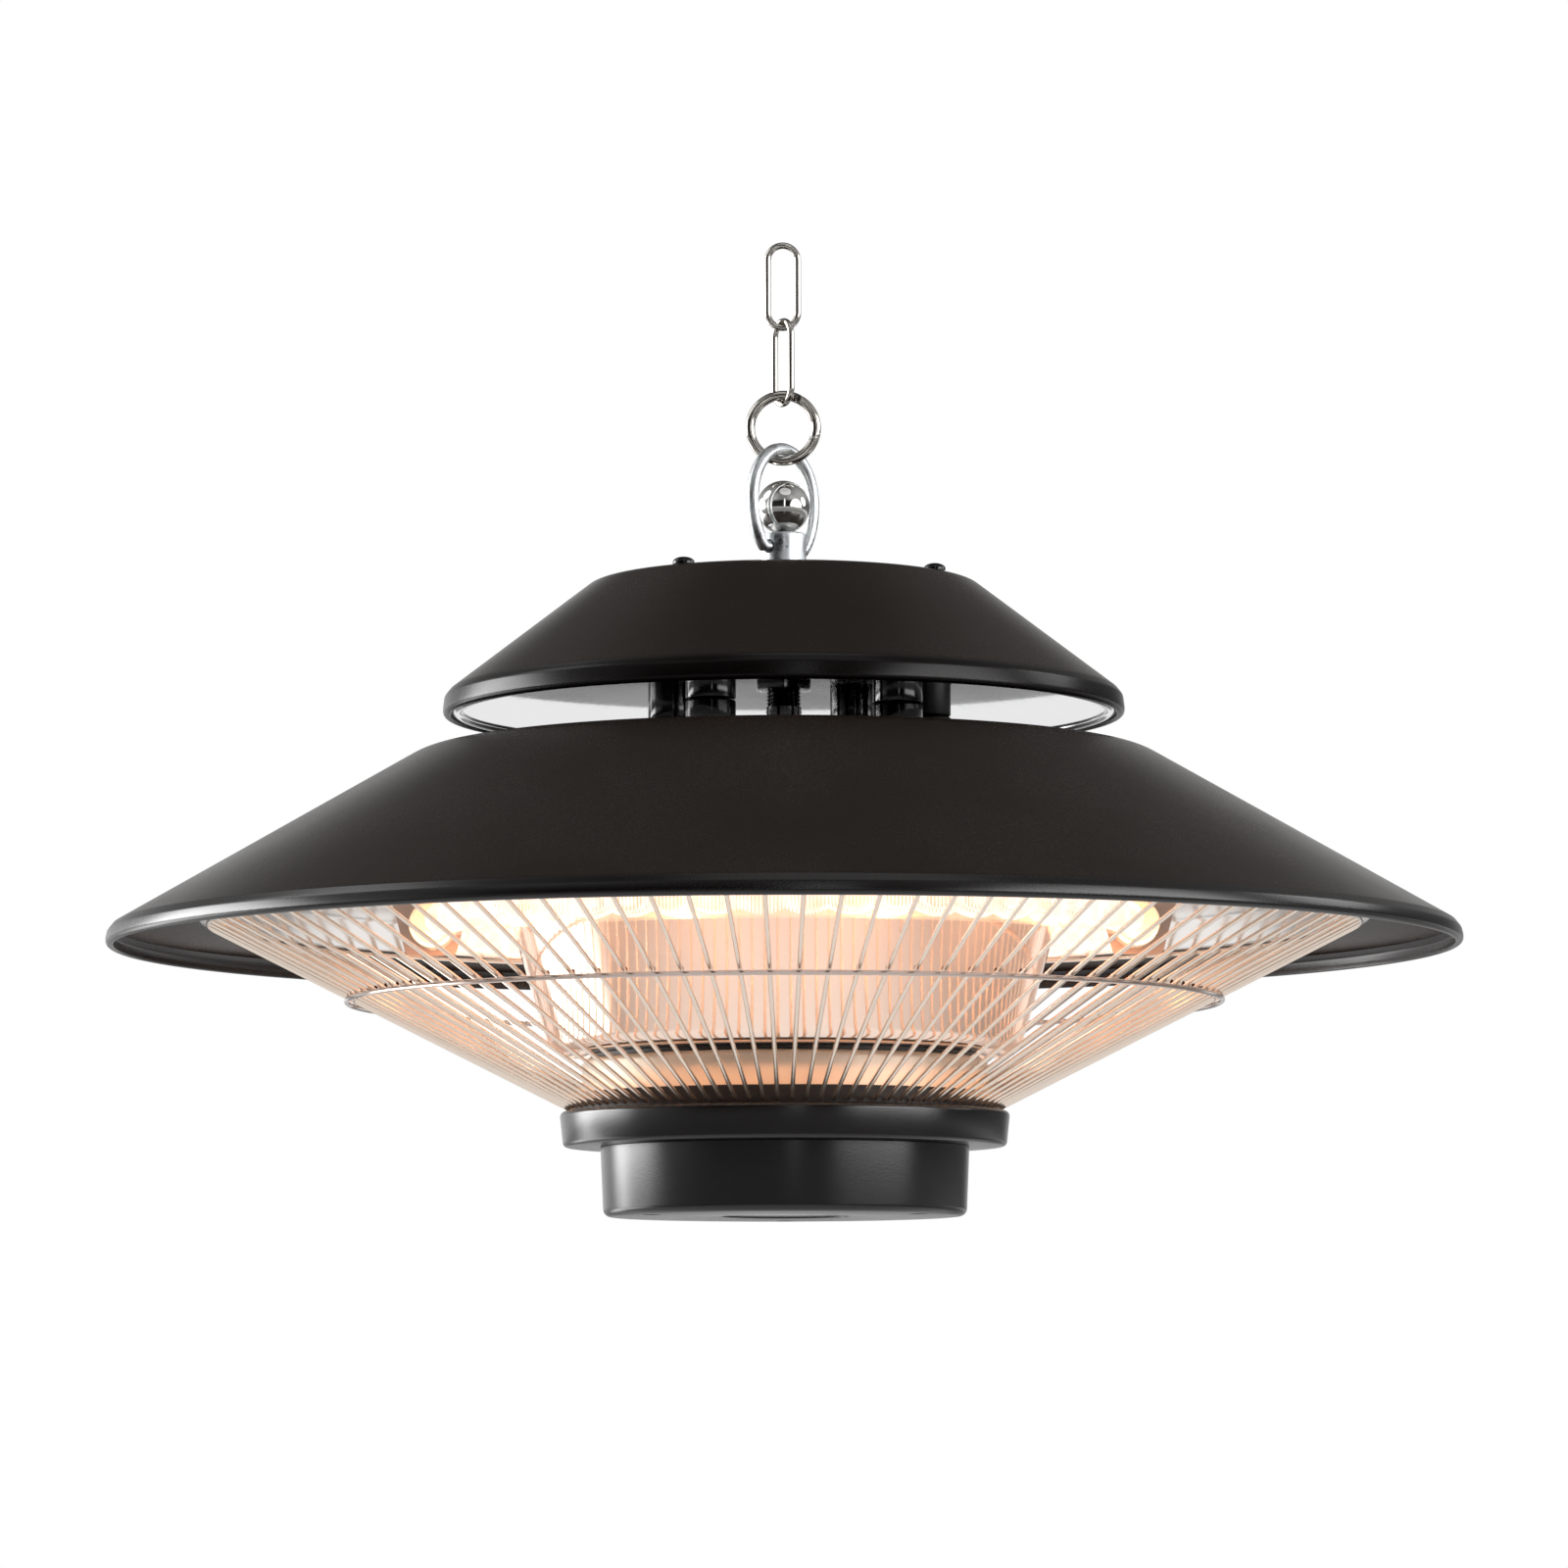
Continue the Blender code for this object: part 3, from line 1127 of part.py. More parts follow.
UPPER_LINK = body_empty("upper_link", (0, 0, 0))
LOWER_LINK = body_empty("lower_link", (0, 0, UPPER_LINK_FOOT))
RING = body_empty("ring", (0, 0, LOWER_LINK_FOOT))
GATE = body_empty("gate", hinge_place())
BAIL = body_empty("bail", (0, 0, RING_FOOT))
HEATER = body_empty("heater", (0, 0, PIVOT_Z))

make_link("chain_link_upper", 0, LINK_WIRE - LINK_PITCH / 2, UPPER_LINK)
make_link("chain_link_lower", LOWER_LINK_TURN, LOWER_LINK_HEAD - LINK_PITCH / 2, LOWER_LINK)
make_ring_clip()
make_bail()
make_stem()
make_ball()
make_tube()
make_nuts()
make_upper_shade()
make_pan()
make_upper_fasteners()
make_posts()
make_sleeve()
make_gland()
make_cable()
make_main_shade()
make_plate()
make_spacer()
make_lamp("back", 0)
make_lamp("front", math.pi)
make_bracket("lamp_bracket_right", 1)
make_bracket("lamp_bracket_left", -1)
make_column()
make_guard()
make_flange()
make_cap()
make_cap_screws()
make_lens()
make_controls()
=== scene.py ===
"""The finished look of the hanging patio heater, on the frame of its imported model.

Heights are world Z in metres. Every turned piece is drawn as an outline of (radius, height).
"""

import math

import bmesh
import bpy
from mathutils import Matrix, Vector


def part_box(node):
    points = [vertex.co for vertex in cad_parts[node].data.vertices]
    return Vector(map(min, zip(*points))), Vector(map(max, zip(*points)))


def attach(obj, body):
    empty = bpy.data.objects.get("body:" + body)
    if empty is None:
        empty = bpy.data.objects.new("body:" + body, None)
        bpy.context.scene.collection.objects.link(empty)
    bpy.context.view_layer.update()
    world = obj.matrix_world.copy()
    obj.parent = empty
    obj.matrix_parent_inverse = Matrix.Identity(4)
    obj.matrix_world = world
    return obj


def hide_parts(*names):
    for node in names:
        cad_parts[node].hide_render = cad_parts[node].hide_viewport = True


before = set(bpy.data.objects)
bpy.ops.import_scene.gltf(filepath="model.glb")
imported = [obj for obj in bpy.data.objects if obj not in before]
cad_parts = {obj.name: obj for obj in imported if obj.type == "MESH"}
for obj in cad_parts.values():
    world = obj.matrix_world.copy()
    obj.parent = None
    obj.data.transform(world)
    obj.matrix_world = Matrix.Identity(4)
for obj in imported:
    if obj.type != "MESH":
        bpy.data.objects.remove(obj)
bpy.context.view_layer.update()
QUARTER = math.radians(90)

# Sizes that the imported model's boxes don't give

GAP = 0.0003                    # between pieces that only touch
TUBE_HOLE = 0.0082              # hole for the tube in all that it carries
CABLE_HOLE = 0.0046
SPUN_WALL = 0.0008              # plate, column and lower ring
OVERCUT = 0.002                 # a cutting tool sticks out of the piece this far

LINK_WIRE = 0.0015              # every wire's size is its radius
LINK_BEND = 0.00675             # every bend's radius is to the middle of its wire
LOWER_LINK_TURN = math.radians(-57)
RING_WIRE = 0.0022
RING_RADIUS = 0.0148
RING_PIN = 0.0011
RING_TONGUE = 0.0009            # half of its thickness
GATE_HINGE = math.radians(62)
GATE_NOSE = math.radians(-16)
GATE_PLAY = 0.00015             # round the pin and beside the tongue
NOSE_SLANT = math.radians(30)
NOSE_GAP = 0.0004
BAIL_WIRE = 0.00275
BAIL_PLAY = 0.0004
BAIL_TURN = math.radians(48)
BAIL_TIP = 0.0047               # from the axis to a tip's end
BAIL_CORNER = 0.0012            # the tips turn up this far before the sides
BAIL_HALF_WIDTH = 0.0202
BAIL_SHOULDER = 0.0215          # from the tips up to the widest place
BALL_RADIUS = 0.012

TUBE_RADIUS = 0.0078
TUBE_BORE = 0.005
THREAD_PITCH = 0.0016
THREAD_DEPTH = 0.0009
NUT_RADIUS = 0.0138
WASHER_RADIUS = 0.016
WASHER_HEIGHT = 0.0015
POST_RADIUS = 0.011
POST_CIRCLE = 0.0595
POST_ANGLE = math.radians(-122.5)
SLEEVE_RADIUS = 0.010
SLEEVE_FLANGE = 0.0132
SLEEVE_FLANGE_HEIGHT = 0.0022
SHADE_SCREW = (0.0048, 0.0031, 0.002)   # the head's radius and height, and the shank below it
SCREW_CIRCLE = 0.0795
SCREW_ANGLE = math.radians(-123.2)
CAP_SCREW = (0.0036, 0.0022, 0.006)
CAP_SCREW_CIRCLE = 0.0674
GLAND_FOOT = 0.0094
GLAND_FOOT_HEIGHT = 0.004
GLAND_DOME = 0.0088
GLAND_DOME_STEP = 0.0006        # straight part below the dome's slope
GLAND_TOP = 0.0062
GLAND_RIB = (0.0010, 0.0006, 0.0040)
GLAND_RIB_CIRCLE = 0.0073
GLAND_NECK = 0.006
GLAND_LOCKNUT = 0.0095
SEAL_TOP = 0.002                # below the gland's top
SEAL_FOOT = 0.005

SHADE_WALL = 0.0012
SHADE_SHOULDER = 0.1612
SHADE_CREASE = 0.0090           # lip height of the main shade
UPPER_WALL = 0.0010
UPPER_SHOULDER = 0.0852
UPPER_CREASE = 0.0112           # lip height of the upper shade
LIP_STEP = 0.003                # how far the crease goes in, and down
LIP_LEAN = 0.0006
LIP_FOOT = 0.0032
HEM_WIDTH = 0.0035
HEM_RISE = 0.0022
PAN_WALL = 0.0007
PAN_FLAT = 0.0080               # from the pan's edge to its flat middle
PAN_BEAD = 0.0029               # from the pan's edge to the middle of its bead
PAN_BEAD_RADIUS = 0.0026
PAN_DROP = 0.0018               # the bead hangs this far below the flat middle
PLATE_LIP = 0.004
PLATE_RIM = 0.012
PLATE_SLOPE = 0.014
PLATE_DISH = 0.0125

LAMP_CIRCLE = 0.157
LAMP_TUBE = 0.0085
LAMP_WALL = 0.0012
LAMP_CAP = 0.018
LAMP_CAP_FLOOR = 0.010
LAMP_CAP_GROOVE = 0.0012
LAMP_FACE = 0.0009              # from the plane between the lamps to a cap's end
LAMP_BEND_START = math.asin((LAMP_FACE + LAMP_CAP + 2 * LAMP_WALL) / LAMP_CIRCLE)
LAMP_LEG_X = LAMP_CIRCLE * math.cos(LAMP_BEND_START)
COIL_MARGIN = math.radians(14)
COIL_TURNS = 262.0
COIL_POINTS = 3400
COIL_WIRE = 0.00042
COIL_NARROW = 0.0044
COIL_WIDE = 0.0068
COIL_SCALLOP = 0.019            # length of one swell
LEAD_WIRE = 0.0005
LEAD_SWEEP = math.radians(17)
LEAD_LOOP = 0.0035
LEAD_BOW = 0.0012
LEAD_SINK = 0.003

COLUMN_TOP = 0.1250
COLUMN_FOOT = 0.1040
GUARD_WIRES = 98
GUARD_WIRE = 0.0010
GUARD_FOOT = 0.0955
HOOP_WIRE = 0.00115
WELD_RADIUS = 0.0011
WELD_SHAPE = (0.9, 0.8, 1.9, 1)
WELD_RISE = 0.0016              # above the hoop's middle
WELD_LEVEL = 0.0009             # the cone's radius is taken here, and the marks are farther out
WELD_OUT = 0.0004
COLLAR_HOLE = 0.091
HOUSING_WALL = 0.0022
FLANGE_LEAN = 0.0016
FLANGE_HOLE = 0.058
CAP_LEAN = 0.0013
CAP_FLOOR = 0.004               # the floor is thicker, for the screws
LENS_HOLE = 0.0284
LENS_SEAT = 0.0025
LENS_LEDGE = 0.003
RECESS_RADIUS = 0.0040
RECESS_DEPTH = 0.0031

# Camera, fitted to the photograph, with its lens in millimetres

CAMERA_PLACE = (0, -2.78, -0.517)
CAMERA_PITCH = 0.0987           # radians above the level
CAMERA_ROLL = math.radians(-0.15)
LENS_LENGTH = 144.0
SENSOR_WIDTH = 36.0

# Studio

FLOOR_HEIGHT = -1.35
FLOOR_REACH = 30                # half the floor's width
FLOOR_TONE = (0.72, 0.72, 0.72)
PATCH_GLOW = 3.0                # added light of the floor's patch, in mirrors only
STRIP_X = 0.10                  # the narrow strip light in front stands this far to the right
STRIP_STRENGTH = 3.2
SOFT_BOXES = (                  # level direction, strength, and where the box begins and is full
    (0.85, -0.53, 5.5, 0.87, 0.95),
    (-0.94, 0.34, 11.0, 0.89, 0.97))
STUDIO_LAMPS = (                # name, place, aim, width and watts
    ("key", (-2.3, 0.3, 1.7), (0, 0, -0.30), 1.6, 12.0),
    ("fill", (2.6, 0.5, 0.70), (0, 0, -0.25), 1.2, 12.0),
    ("top", (0.3, -1.0, 2.2), (0, 0, -0.2), 1.8, 5.0))
GLOW_COUNT = 12                 # points of warm light along the ring of lamps
GLOW_WATTS = 0.18
GLOW_COLOUR = (1.0, 0.48, 0.24)
GLOW_SIZE = 0.006
GLOW_DROP = 0.004               # below the tubes


def low(node):
    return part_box(node)[0].z


def high(node):
    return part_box(node)[1].z


def reach(node):
    """Radius of a node turned about the heater's axis."""
    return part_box(node)[1].x


def extent(node):
    """The base, top and radius of a turned node."""
    return low(node), high(node), reach(node)


def polar(radius, turn):
    """How far a radius reaches along X and Y when it is turned."""
    return radius * math.cos(turn), radius * math.sin(turn)


def stepped(start, end, steps):
    """Even steps from start to end, with both ends."""
    return [start + (end - start) * step / steps for step in range(steps + 1)]


def added(name, data):
    """A new object in the scene."""
    obj = bpy.data.objects.new(name, data)
    bpy.context.scene.collection.objects.link(obj)
    return obj


# Camera

def aim_camera():
    """Below the shades and looking up a little, through a long lens."""
    lens = bpy.data.cameras.new("camera")
    lens.lens = LENS_LENGTH
    lens.sensor_width = SENSOR_WIDTH
    camera = added("camera", lens)
    pitch = Matrix.Rotation(QUARTER + CAMERA_PITCH, 4, "X")
    roll = Matrix.Rotation(CAMERA_ROLL, 4, "Z")
    camera.matrix_world = Matrix.Translation(CAMERA_PLACE) @ pitch @ roll
    bpy.context.scene.camera = camera


# Node trees

def feed(tree, socket, value):
    """Gives a socket a link or a plain value."""
    if isinstance(value, bpy.types.NodeSocket):
        tree.links.new(value, socket)
    else:
        socket.default_value = value


def supply(tree, made, values):
    """Feeds a node's inputs by name or number."""
    for key, value in values.items():
        feed(tree, made.inputs[key], value)


def node(tree, kind, values=None, **settings):
    made = tree.nodes.new(kind)
    for key, setting in settings.items():
        setattr(made, key, setting)
    supply(tree, made, values or {})
    return made


def calc(tree, operation, first, second=0.0):
    return node(tree, "ShaderNodeMath", {0: first, 1: second}, operation=operation).outputs[0]


def plus(tree, total, *others):
    for other in others:
        total = calc(tree, "ADD", total, other)
    return total


def times(tree, product, *others):
    for other in others:
        product = calc(tree, "MULTIPLY", product, other)
    return product


def vector(tree, **parts):
    return node(tree, "ShaderNodeCombineXYZ", parts).outputs["Vector"]


def apart(tree, whole):
    """The X, Y and Z of a vector."""
    return node(tree, "ShaderNodeSeparateXYZ", {"Vector": whole}).outputs


def toward(tree, parts, x, y):
    """How far the parts reach along a level direction."""
    return plus(tree, times(tree, parts["X"], x), times(tree, parts["Y"], y))


def axis_distance(tree, parts):
    """How far the parts are from the heater's axis."""
    squares = [times(tree, parts[key], parts[key]) for key in "XY"]
    return calc(tree, "SQRT", plus(tree, *squares))


# Finishes

def finish(name, colour, roughness, metallic=0.0):
    """A Principled material, and its tree and shader for what is added to it."""
    made = bpy.data.materials.new(name)
    made.use_nodes = True
    made.diffuse_color = (*colour, 1.0)
    tree, shader = made.node_tree, made.node_tree.nodes["Principled BSDF"]
    supply(tree, shader, {
        "Base Color": made.diffuse_color, "Roughness": roughness, "Metallic": metallic})
    return made, tree, shader


def on_piece(tree, scale=(1, 1, 1)):
    """The piece's own coordinates in metres, stretched by scale."""
    place = node(tree, "ShaderNodeTexCoord").outputs["Object"]
    return node(tree, "ShaderNodeMapping", {"Vector": place, "Scale": scale}).outputs["Vector"]


def noise(tree, scale, detail, place=None):
    """Soft noise with a number of grains to the metre, read on the piece or at another place."""
    values = {"Vector": place or on_piece(tree), "Scale": scale, "Detail": detail}
    return node(tree, "ShaderNodeTexNoise", values).outputs["Fac"]


def spread(tree, value, low_end, high_end, start=0.3, end=0.7):
    """Goes from low_end to high_end while the value goes from start to end, and is flat beyond."""
    values = {"Value": value, "From Min": start, "From Max": end, "To Min": low_end, "To Max": high_end}
    return node(tree, "ShaderNodeMapRange", values).outputs["Result"]


def blend_colours(tree, share, first, second):
    """Goes from the first colour to the second by the share."""
    mixed = node(tree, "ShaderNodeMix", data_type="RGBA")
    feed(tree, mixed.inputs["Factor"], share)
    for key, colour in (("A", first), ("B", second)):
        socket = [s for s in mixed.inputs if s.name == key and s.type == "RGBA"][0]
        feed(tree, socket, (*colour, 1.0) if isinstance(colour, tuple) else colour)
    return [s for s in mixed.outputs if s.type == "RGBA"][0]


def raise_surface(tree, shader, height, strength, distance):
    """Bumps the surface by a height of 0 to 1 over a distance in metres."""
    bump = node(tree, "ShaderNodeBump", {
        "Height": height, "Strength": strength, "Distance": distance})
    supply(tree, shader, {"Normal": bump.outputs["Normal"]})


def powder_coat(name, colour, lighter, roughness, lips=()):
    """Baked powder: fine orange peel, slow drifts of tone and gloss, and painted shade on each lip.

    A lip is its lowest and highest height, and how much of the coat's gloss it loses; there the colour
    is darkened with painted shade.
    """
    made, tree, shader = finish(name, colour, roughness)
    drift = noise(tree, 14.0, 4.0)
    tone = blend_colours(tree, spread(tree, drift, 0.0, 1.0), colour, lighter)
    height = apart(tree, on_piece(tree))["Z"]
    gloss = shader.inputs["Specular IOR Level"].default_value
    for base, top, dimming in lips:
        # painted shade: over each lip's height the colour is blended toward a near-black and the gloss
        # is lowered by the dimming
        lip_shade_mask = times(tree, spread(tree, height, 0.0, 1.0, base - 2 * LIP_SHADE_FADE, base - LIP_SHADE_FADE),
                       spread(tree, height, 1.0, 0.0, top - 1.5 * LIP_SHADE_FADE, top + LIP_SHADE_FADE))
        tone = blend_colours(tree, lip_shade_mask, tone, LIP_PAINTED_SHADE)
        gloss = calc(tree, "SUBTRACT", gloss, times(tree, lip_shade_mask, dimming))
    peel = noise(tree, 1500.0, 2.0)
    dull = plus(tree, spread(tree, drift, roughness - 0.03, roughness + 0.03),
                spread(tree, peel, -0.03, 0.03))
    supply(tree, shader, {"Base Color": tone, "Specular IOR Level": gloss, "Roughness": dull})
    raise_surface(tree, shader, peel, 0.22, 0.00012)
    return made


def plating(name, colour, roughness, scratch, mottle=0.0):
    """Bright plate over drawn wire: faint long scratches and small changes of gloss."""
    made, tree, shader = finish(name, colour, roughness, 1.0)
    patches = noise(tree, 160.0, 4.0)
    dull = tuple(channel * (0.88 - 0.25 * mottle) for channel in colour)
    supply(tree, shader, {
        "Roughness": spread(tree, patches, roughness * (1 - mottle / 2), roughness * (1.3 + mottle)),
        "Base Color": blend_colours(tree, spread(tree, patches, 0.0, 1.0), dull, colour)})
    scratches = noise(tree, 900.0, 2.0, on_piece(tree, ALONG_THE_WIRE))
    raise_surface(tree, shader, scratches, scratch, 0.00008)
    return made


def spun_metal(name, colour, roughness, line):
    """Polished sheet spun on a lathe: fine rings about the axis."""
    made, tree, shader = finish(name, colour, roughness, 1.0)
    parts = apart(tree, on_piece(tree))
    place = vector(tree, X=axis_distance(tree, parts), Y=parts["Z"])
    rings = noise(tree, 1100.0, 2.0, place)
    haze = noise(tree, 22.0, 3.0)
    dull = plus(tree, spread(tree, haze, roughness * 0.8, roughness * 1.4),
                spread(tree, rings, -0.02, 0.03))
    supply(tree, shader, {"Roughness": dull})
    raise_surface(tree, shader, rings, line, 0.00004)
    return made


def satin_metal(name, colour, roughness, metallic):
    """Brushed plate, its colour tinted with painted warm light from the lamps beside it."""
    made, tree, shader = finish(name, colour, roughness, metallic)
    haze = noise(tree, 30.0, 3.0)
    supply(tree, shader, {"Roughness": spread(tree, haze, roughness * 0.85, roughness * 1.15)})
    brushed = noise(tree, 1400.0, 2.0, on_piece(tree, ALONG_THE_BRUSH))
    raise_surface(tree, shader, brushed, 0.05, 0.00004)
    return made


def grained(name, colour, roughness, scale, strength, metallic=0.0):
    """A plain moulded or dipped surface with a fine grain and a little change of gloss."""
    made, tree, shader = finish(name, colour, roughness, metallic)
    grain = noise(tree, scale, 3.0)
    supply(tree, shader, {"Roughness": spread(tree, grain, roughness * 0.85, roughness * 1.15)})
    raise_surface(tree, shader, grain, strength, 0.0001)
    return made


def glowing(name, colour, strength, cooler, scale):
    """Metal that glows red-hot to white-hot, its heat changing along it: the coil's own glow, and a
    painted glow on the lamp leads.
    """
    made, tree, shader = finish(name, COLD_WIRE, 0.6)
    heat = spread(tree, noise(tree, scale, 2.0), 0.0, 1.0)
    supply(tree, shader, {"Emission Strength": strength,
                          "Emission Color": blend_colours(tree, heat, cooler, colour)})
    return made


def quartz():
    """Thin clear tube, lit from inside."""
    made, tree, shader = finish("quartz_tube", (1.0, 0.72, 0.42), 0.04)
    streak = spread(tree, noise(tree, 60.0, 3.0), 0.0, 1.0)
    glow = blend_colours(tree, streak, (1.0, 0.54, 0.36), (1.0, 0.68, 0.54))
    supply(tree, shader, {"Alpha": QUARTZ_SHOWN_SHARE, "Emission Strength": QUARTZ_GLOW,
                          "Emission Color": glow})
    return made


def circuit_board():
    """Green board with copper tracks under the lacquer."""
    made, tree, shader = finish("circuit_board", (0.03, 0.16, 0.06), 0.4)
    tracks = node(tree, "ShaderNodeTexBrick", {
        "Vector": on_piece(tree), "Scale": 160.0, "Mortar Size": 0.03}).outputs["Fac"]
    supply(tree, shader, {
        "Base Color": blend_colours(tree, tracks, (0.02, 0.12, 0.045), (0.06, 0.24, 0.09))})
    raise_surface(tree, shader, tracks, 0.3, 0.0001)
    return made


# painted shade: the near-black colour that the lips of both shades are darkened to
LIP_PAINTED_SHADE = (0.0060, 0.0035, 0.0030)
LIP_SHADE_FADE = 0.001                # the lip's painted shade fades over about this height
ALONG_THE_WIRE = (1, 1, 0.12)   # stretches a grain upright
ALONG_THE_BRUSH = (1, 1, 0.10)
COLD_WIRE = (0.05, 0.03, 0.02)
QUARTZ_SHOWN_SHARE = 0.16       # the rest of the tube is clear
QUARTZ_GLOW = 0.8

# painted shade on the lips of both shades; the upper lip also loses some of its gloss
COAT = powder_coat("dark_powder_coat", (0.0380, 0.0270, 0.0200), (0.0470, 0.0340, 0.0260), 0.25, (
    (low("main_shade"), low("main_shade") + SHADE_CREASE, 0.0),
    (low("upper_shade"), low("upper_shade") + UPPER_CREASE, 0.3)))
BLACK_COAT = powder_coat("black_powder_coat", (0.0026, 0.0020, 0.0022), (0.0044, 0.0034, 0.0036), 0.21)
COLLAR_COAT = powder_coat("collar_coat", (0.0040, 0.0030, 0.0028), (0.0060, 0.0045, 0.0040), 0.50)
NICKEL = plating("nickel_plate", (0.56, 0.53, 0.49), 0.07, 0.02)
CHROME = plating("chrome_plate", (0.74, 0.73, 0.70), 0.06, 0.02)
ZINC = plating("zinc_plate", (0.74, 0.77, 0.79), 0.27, 0.12, 0.9)
POLISHED = spun_metal("polished_aluminium", (0.92, 0.88, 0.85), 0.15, 0.06)
MIRROR = spun_metal("mirror_aluminium", (0.74, 0.74, 0.76), 0.03, 0.03)
# painted warm light: the column's aluminium is coloured peach, as if lit by the lamps
COLUMN = satin_metal("column_aluminium", (0.98, 0.81, 0.70), 0.07, 0.84)
# painted warm light: the lower ring's aluminium is coloured orange, as if lit by the lamps
LOWER_RING = satin_metal("lower_ring_aluminium", (1.0, 0.84, 0.68), 0.42, 0.30)
# painted reflection and warm light: the hoop's chrome is coloured darker and browner than the guard's
# wires
HOOP_CHROME = satin_metal("hoop_chrome", (0.60, 0.50, 0.45), 0.12, 1.0)
# painted warm light: the guard's chrome is coloured tan, as if lit by the lamps
GUARD_CHROME = satin_metal("guard_chrome", (0.84, 0.73, 0.63), 0.20, 0.90)
BLACK_STEEL = grained("black_steel", (0.004, 0.004, 0.004), 0.07, 700.0, 0.05)
BLACK_PLASTIC = grained("black_plastic", (0.014, 0.013, 0.013), 0.45, 1200.0, 0.2)
CERAMIC = grained("ceramic", (0.80, 0.77, 0.70), 0.5, 500.0, 0.25)
# painted warm light: the brackets' steel is coloured warm copper, standing in for the lamps' orange
# light on them
SPRING_STEEL = grained("bracket_steel_painted_warm", (0.62, 0.46, 0.38), 0.34, 400.0, 0.1, 0.8)
LENS = grained("receiver_lens", (0.42, 0.42, 0.43), 0.12, 300.0, 0.02)
ELEMENT = glowing("heating_element", (1.0, 0.94, 0.90), 1.5, (1.0, 0.68, 0.52), 120.0)
# painted glow: the lead wires shine orange, standing in for the lamps' warm light on them
LEAD = glowing("lamp_lead", (1.0, 0.62, 0.22), 1.2, (0.9, 0.45, 0.12), 200.0)
QUARTZ = quartz()
BOARD = circuit_board()
WELD = plating("weld_mark", (0.07, 0.025, 0.015), 0.5, 0.3, 0.5)

# The finishes of each slot of the pack, with the plain one first

FINISHES = {
    "dark_powder_coat": (COAT, BLACK_COAT, COLLAR_COAT),
    "polished_aluminium": (POLISHED, MIRROR, COLUMN, LOWER_RING),
    "chrome_plate": (CHROME, GUARD_CHROME, HOOP_CHROME, WELD),
    "heating_element": (ELEMENT, LEAD),
    "nickel_plate": (NICKEL,), "zinc_plate": (ZINC,), "spring_steel": (SPRING_STEEL,),
    "black_steel": (BLACK_STEEL,), "black_plastic": (BLACK_PLASTIC,), "quartz_tube": (QUARTZ,),
    "ceramic": (CERAMIC,), "receiver_lens": (LENS,), "circuit_board": (BOARD,),
}


def dress_nodes():
    """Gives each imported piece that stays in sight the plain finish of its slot."""
    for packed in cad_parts.values():
        for holder in packed.material_slots:
            holder.material = FINISHES[holder.material.name.split(".")[0]][0]


# Meshes

def put(name, mesh, look, body="heater", stands_for=()):
    """Puts a mesh in its finish on a body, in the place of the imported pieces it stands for."""
    obj = added(name, mesh)
    mesh.materials.clear()
    mesh.materials.append(look)
    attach(obj, body)
    if stands_for:
        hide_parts(*stands_for)


def smooth(mesh, angle=32):
    mesh.shade_smooth()
    mesh.set_sharp_from_angle(angle=math.radians(angle))
    return mesh


def mesh_of(name, shape):
    """The mesh of a bmesh, which is then let go."""
    mesh = bpy.data.meshes.new(name)
    shape.to_mesh(mesh)
    shape.free()
    return mesh


def outward(mesh):
    """Welds the mesh, turns its faces outwards and smooths it."""
    shape = bmesh.new()
    shape.from_mesh(mesh)
    bmesh.ops.remove_doubles(shape, verts=shape.verts, dist=0.000002)
    bmesh.ops.recalc_face_normals(shape, faces=shape.faces)
    shape.to_mesh(mesh)
    shape.free()
    return smooth(mesh)


def rounded(points, radii, steps):
    """The outline with the corners that radii names by number replaced by arcs."""
    made = []
    for index, corner in enumerate(points):
        if index not in radii:
            made.append(corner)
            continue
        here = Vector(corner)
        back = (Vector(points[index - 1]) - here).normalized()
        ahead = (Vector(points[(index + 1) % len(points)]) - here).normalized()
        half = back.angle(ahead) / 2
        touch = radii[index] / math.tan(half)
        centre = here + (back + ahead).normalized() * radii[index] / math.sin(half)
        start = here + back * touch - centre
        turn = start.angle_signed(here + ahead * touch - centre)
        for part in stepped(0, -turn, steps):
            made.append(tuple(centre + Matrix.Rotation(part, 2) @ start))
    return made


def walled(points, wall):
    """A closed outline: the points, and the same line set back by the wall."""
    line = [Vector(point) for point in points]
    back = []
    for index, here in enumerate(line):
        sides = []
        if index:
            sides.append((here - line[index - 1]).normalized())
        if index + 1 < len(line):
            sides.append((line[index + 1] - here).normalized())
        normals = [Vector((side.y, -side.x)) for side in sides]
        middle = sum(normals, Vector((0, 0))).normalized()
        back.append(here + middle * wall / middle.dot(normals[0]))
    return [tuple(point) for point in line + back[::-1]]


def turned_mesh(name, points, steps):
    """Turns an outline about the axis. One that starts on the axis ends there, any other is closed."""
    vertices, faces, rows = [], [], []
    for radius, height in points:
        if radius < 1e-7:
            rows.append([len(vertices)] * steps)
            vertices.append((0, 0, height))
            continue
        rows.append(range(len(vertices), len(vertices) + steps))
        vertices += [(*polar(radius, 2 * math.pi * step / steps), height) for step in range(steps)]
    pairs = list(zip(rows, rows[1:]))
    if points[0][0] > 0:
        pairs.append((rows[-1], rows[0]))
    for first, second in pairs:
        for step in range(steps):
            ahead = (step + 1) % steps
            corners = (first[step], first[ahead], second[ahead], second[step])
            faces.append(tuple(dict.fromkeys(corners)))
    mesh = bpy.data.meshes.new(name)
    mesh.from_pydata(vertices, [], faces)
    return outward(mesh)


def put_turned(name, outline, steps, look, node_name):
    put(name, turned_mesh(name, outline, steps), look, stands_for=[node_name])


def rod(name, radius, base, top, steps):
    return turned_mesh(name, [(0, top), (radius, top), (radius, base), (0, base)], steps)


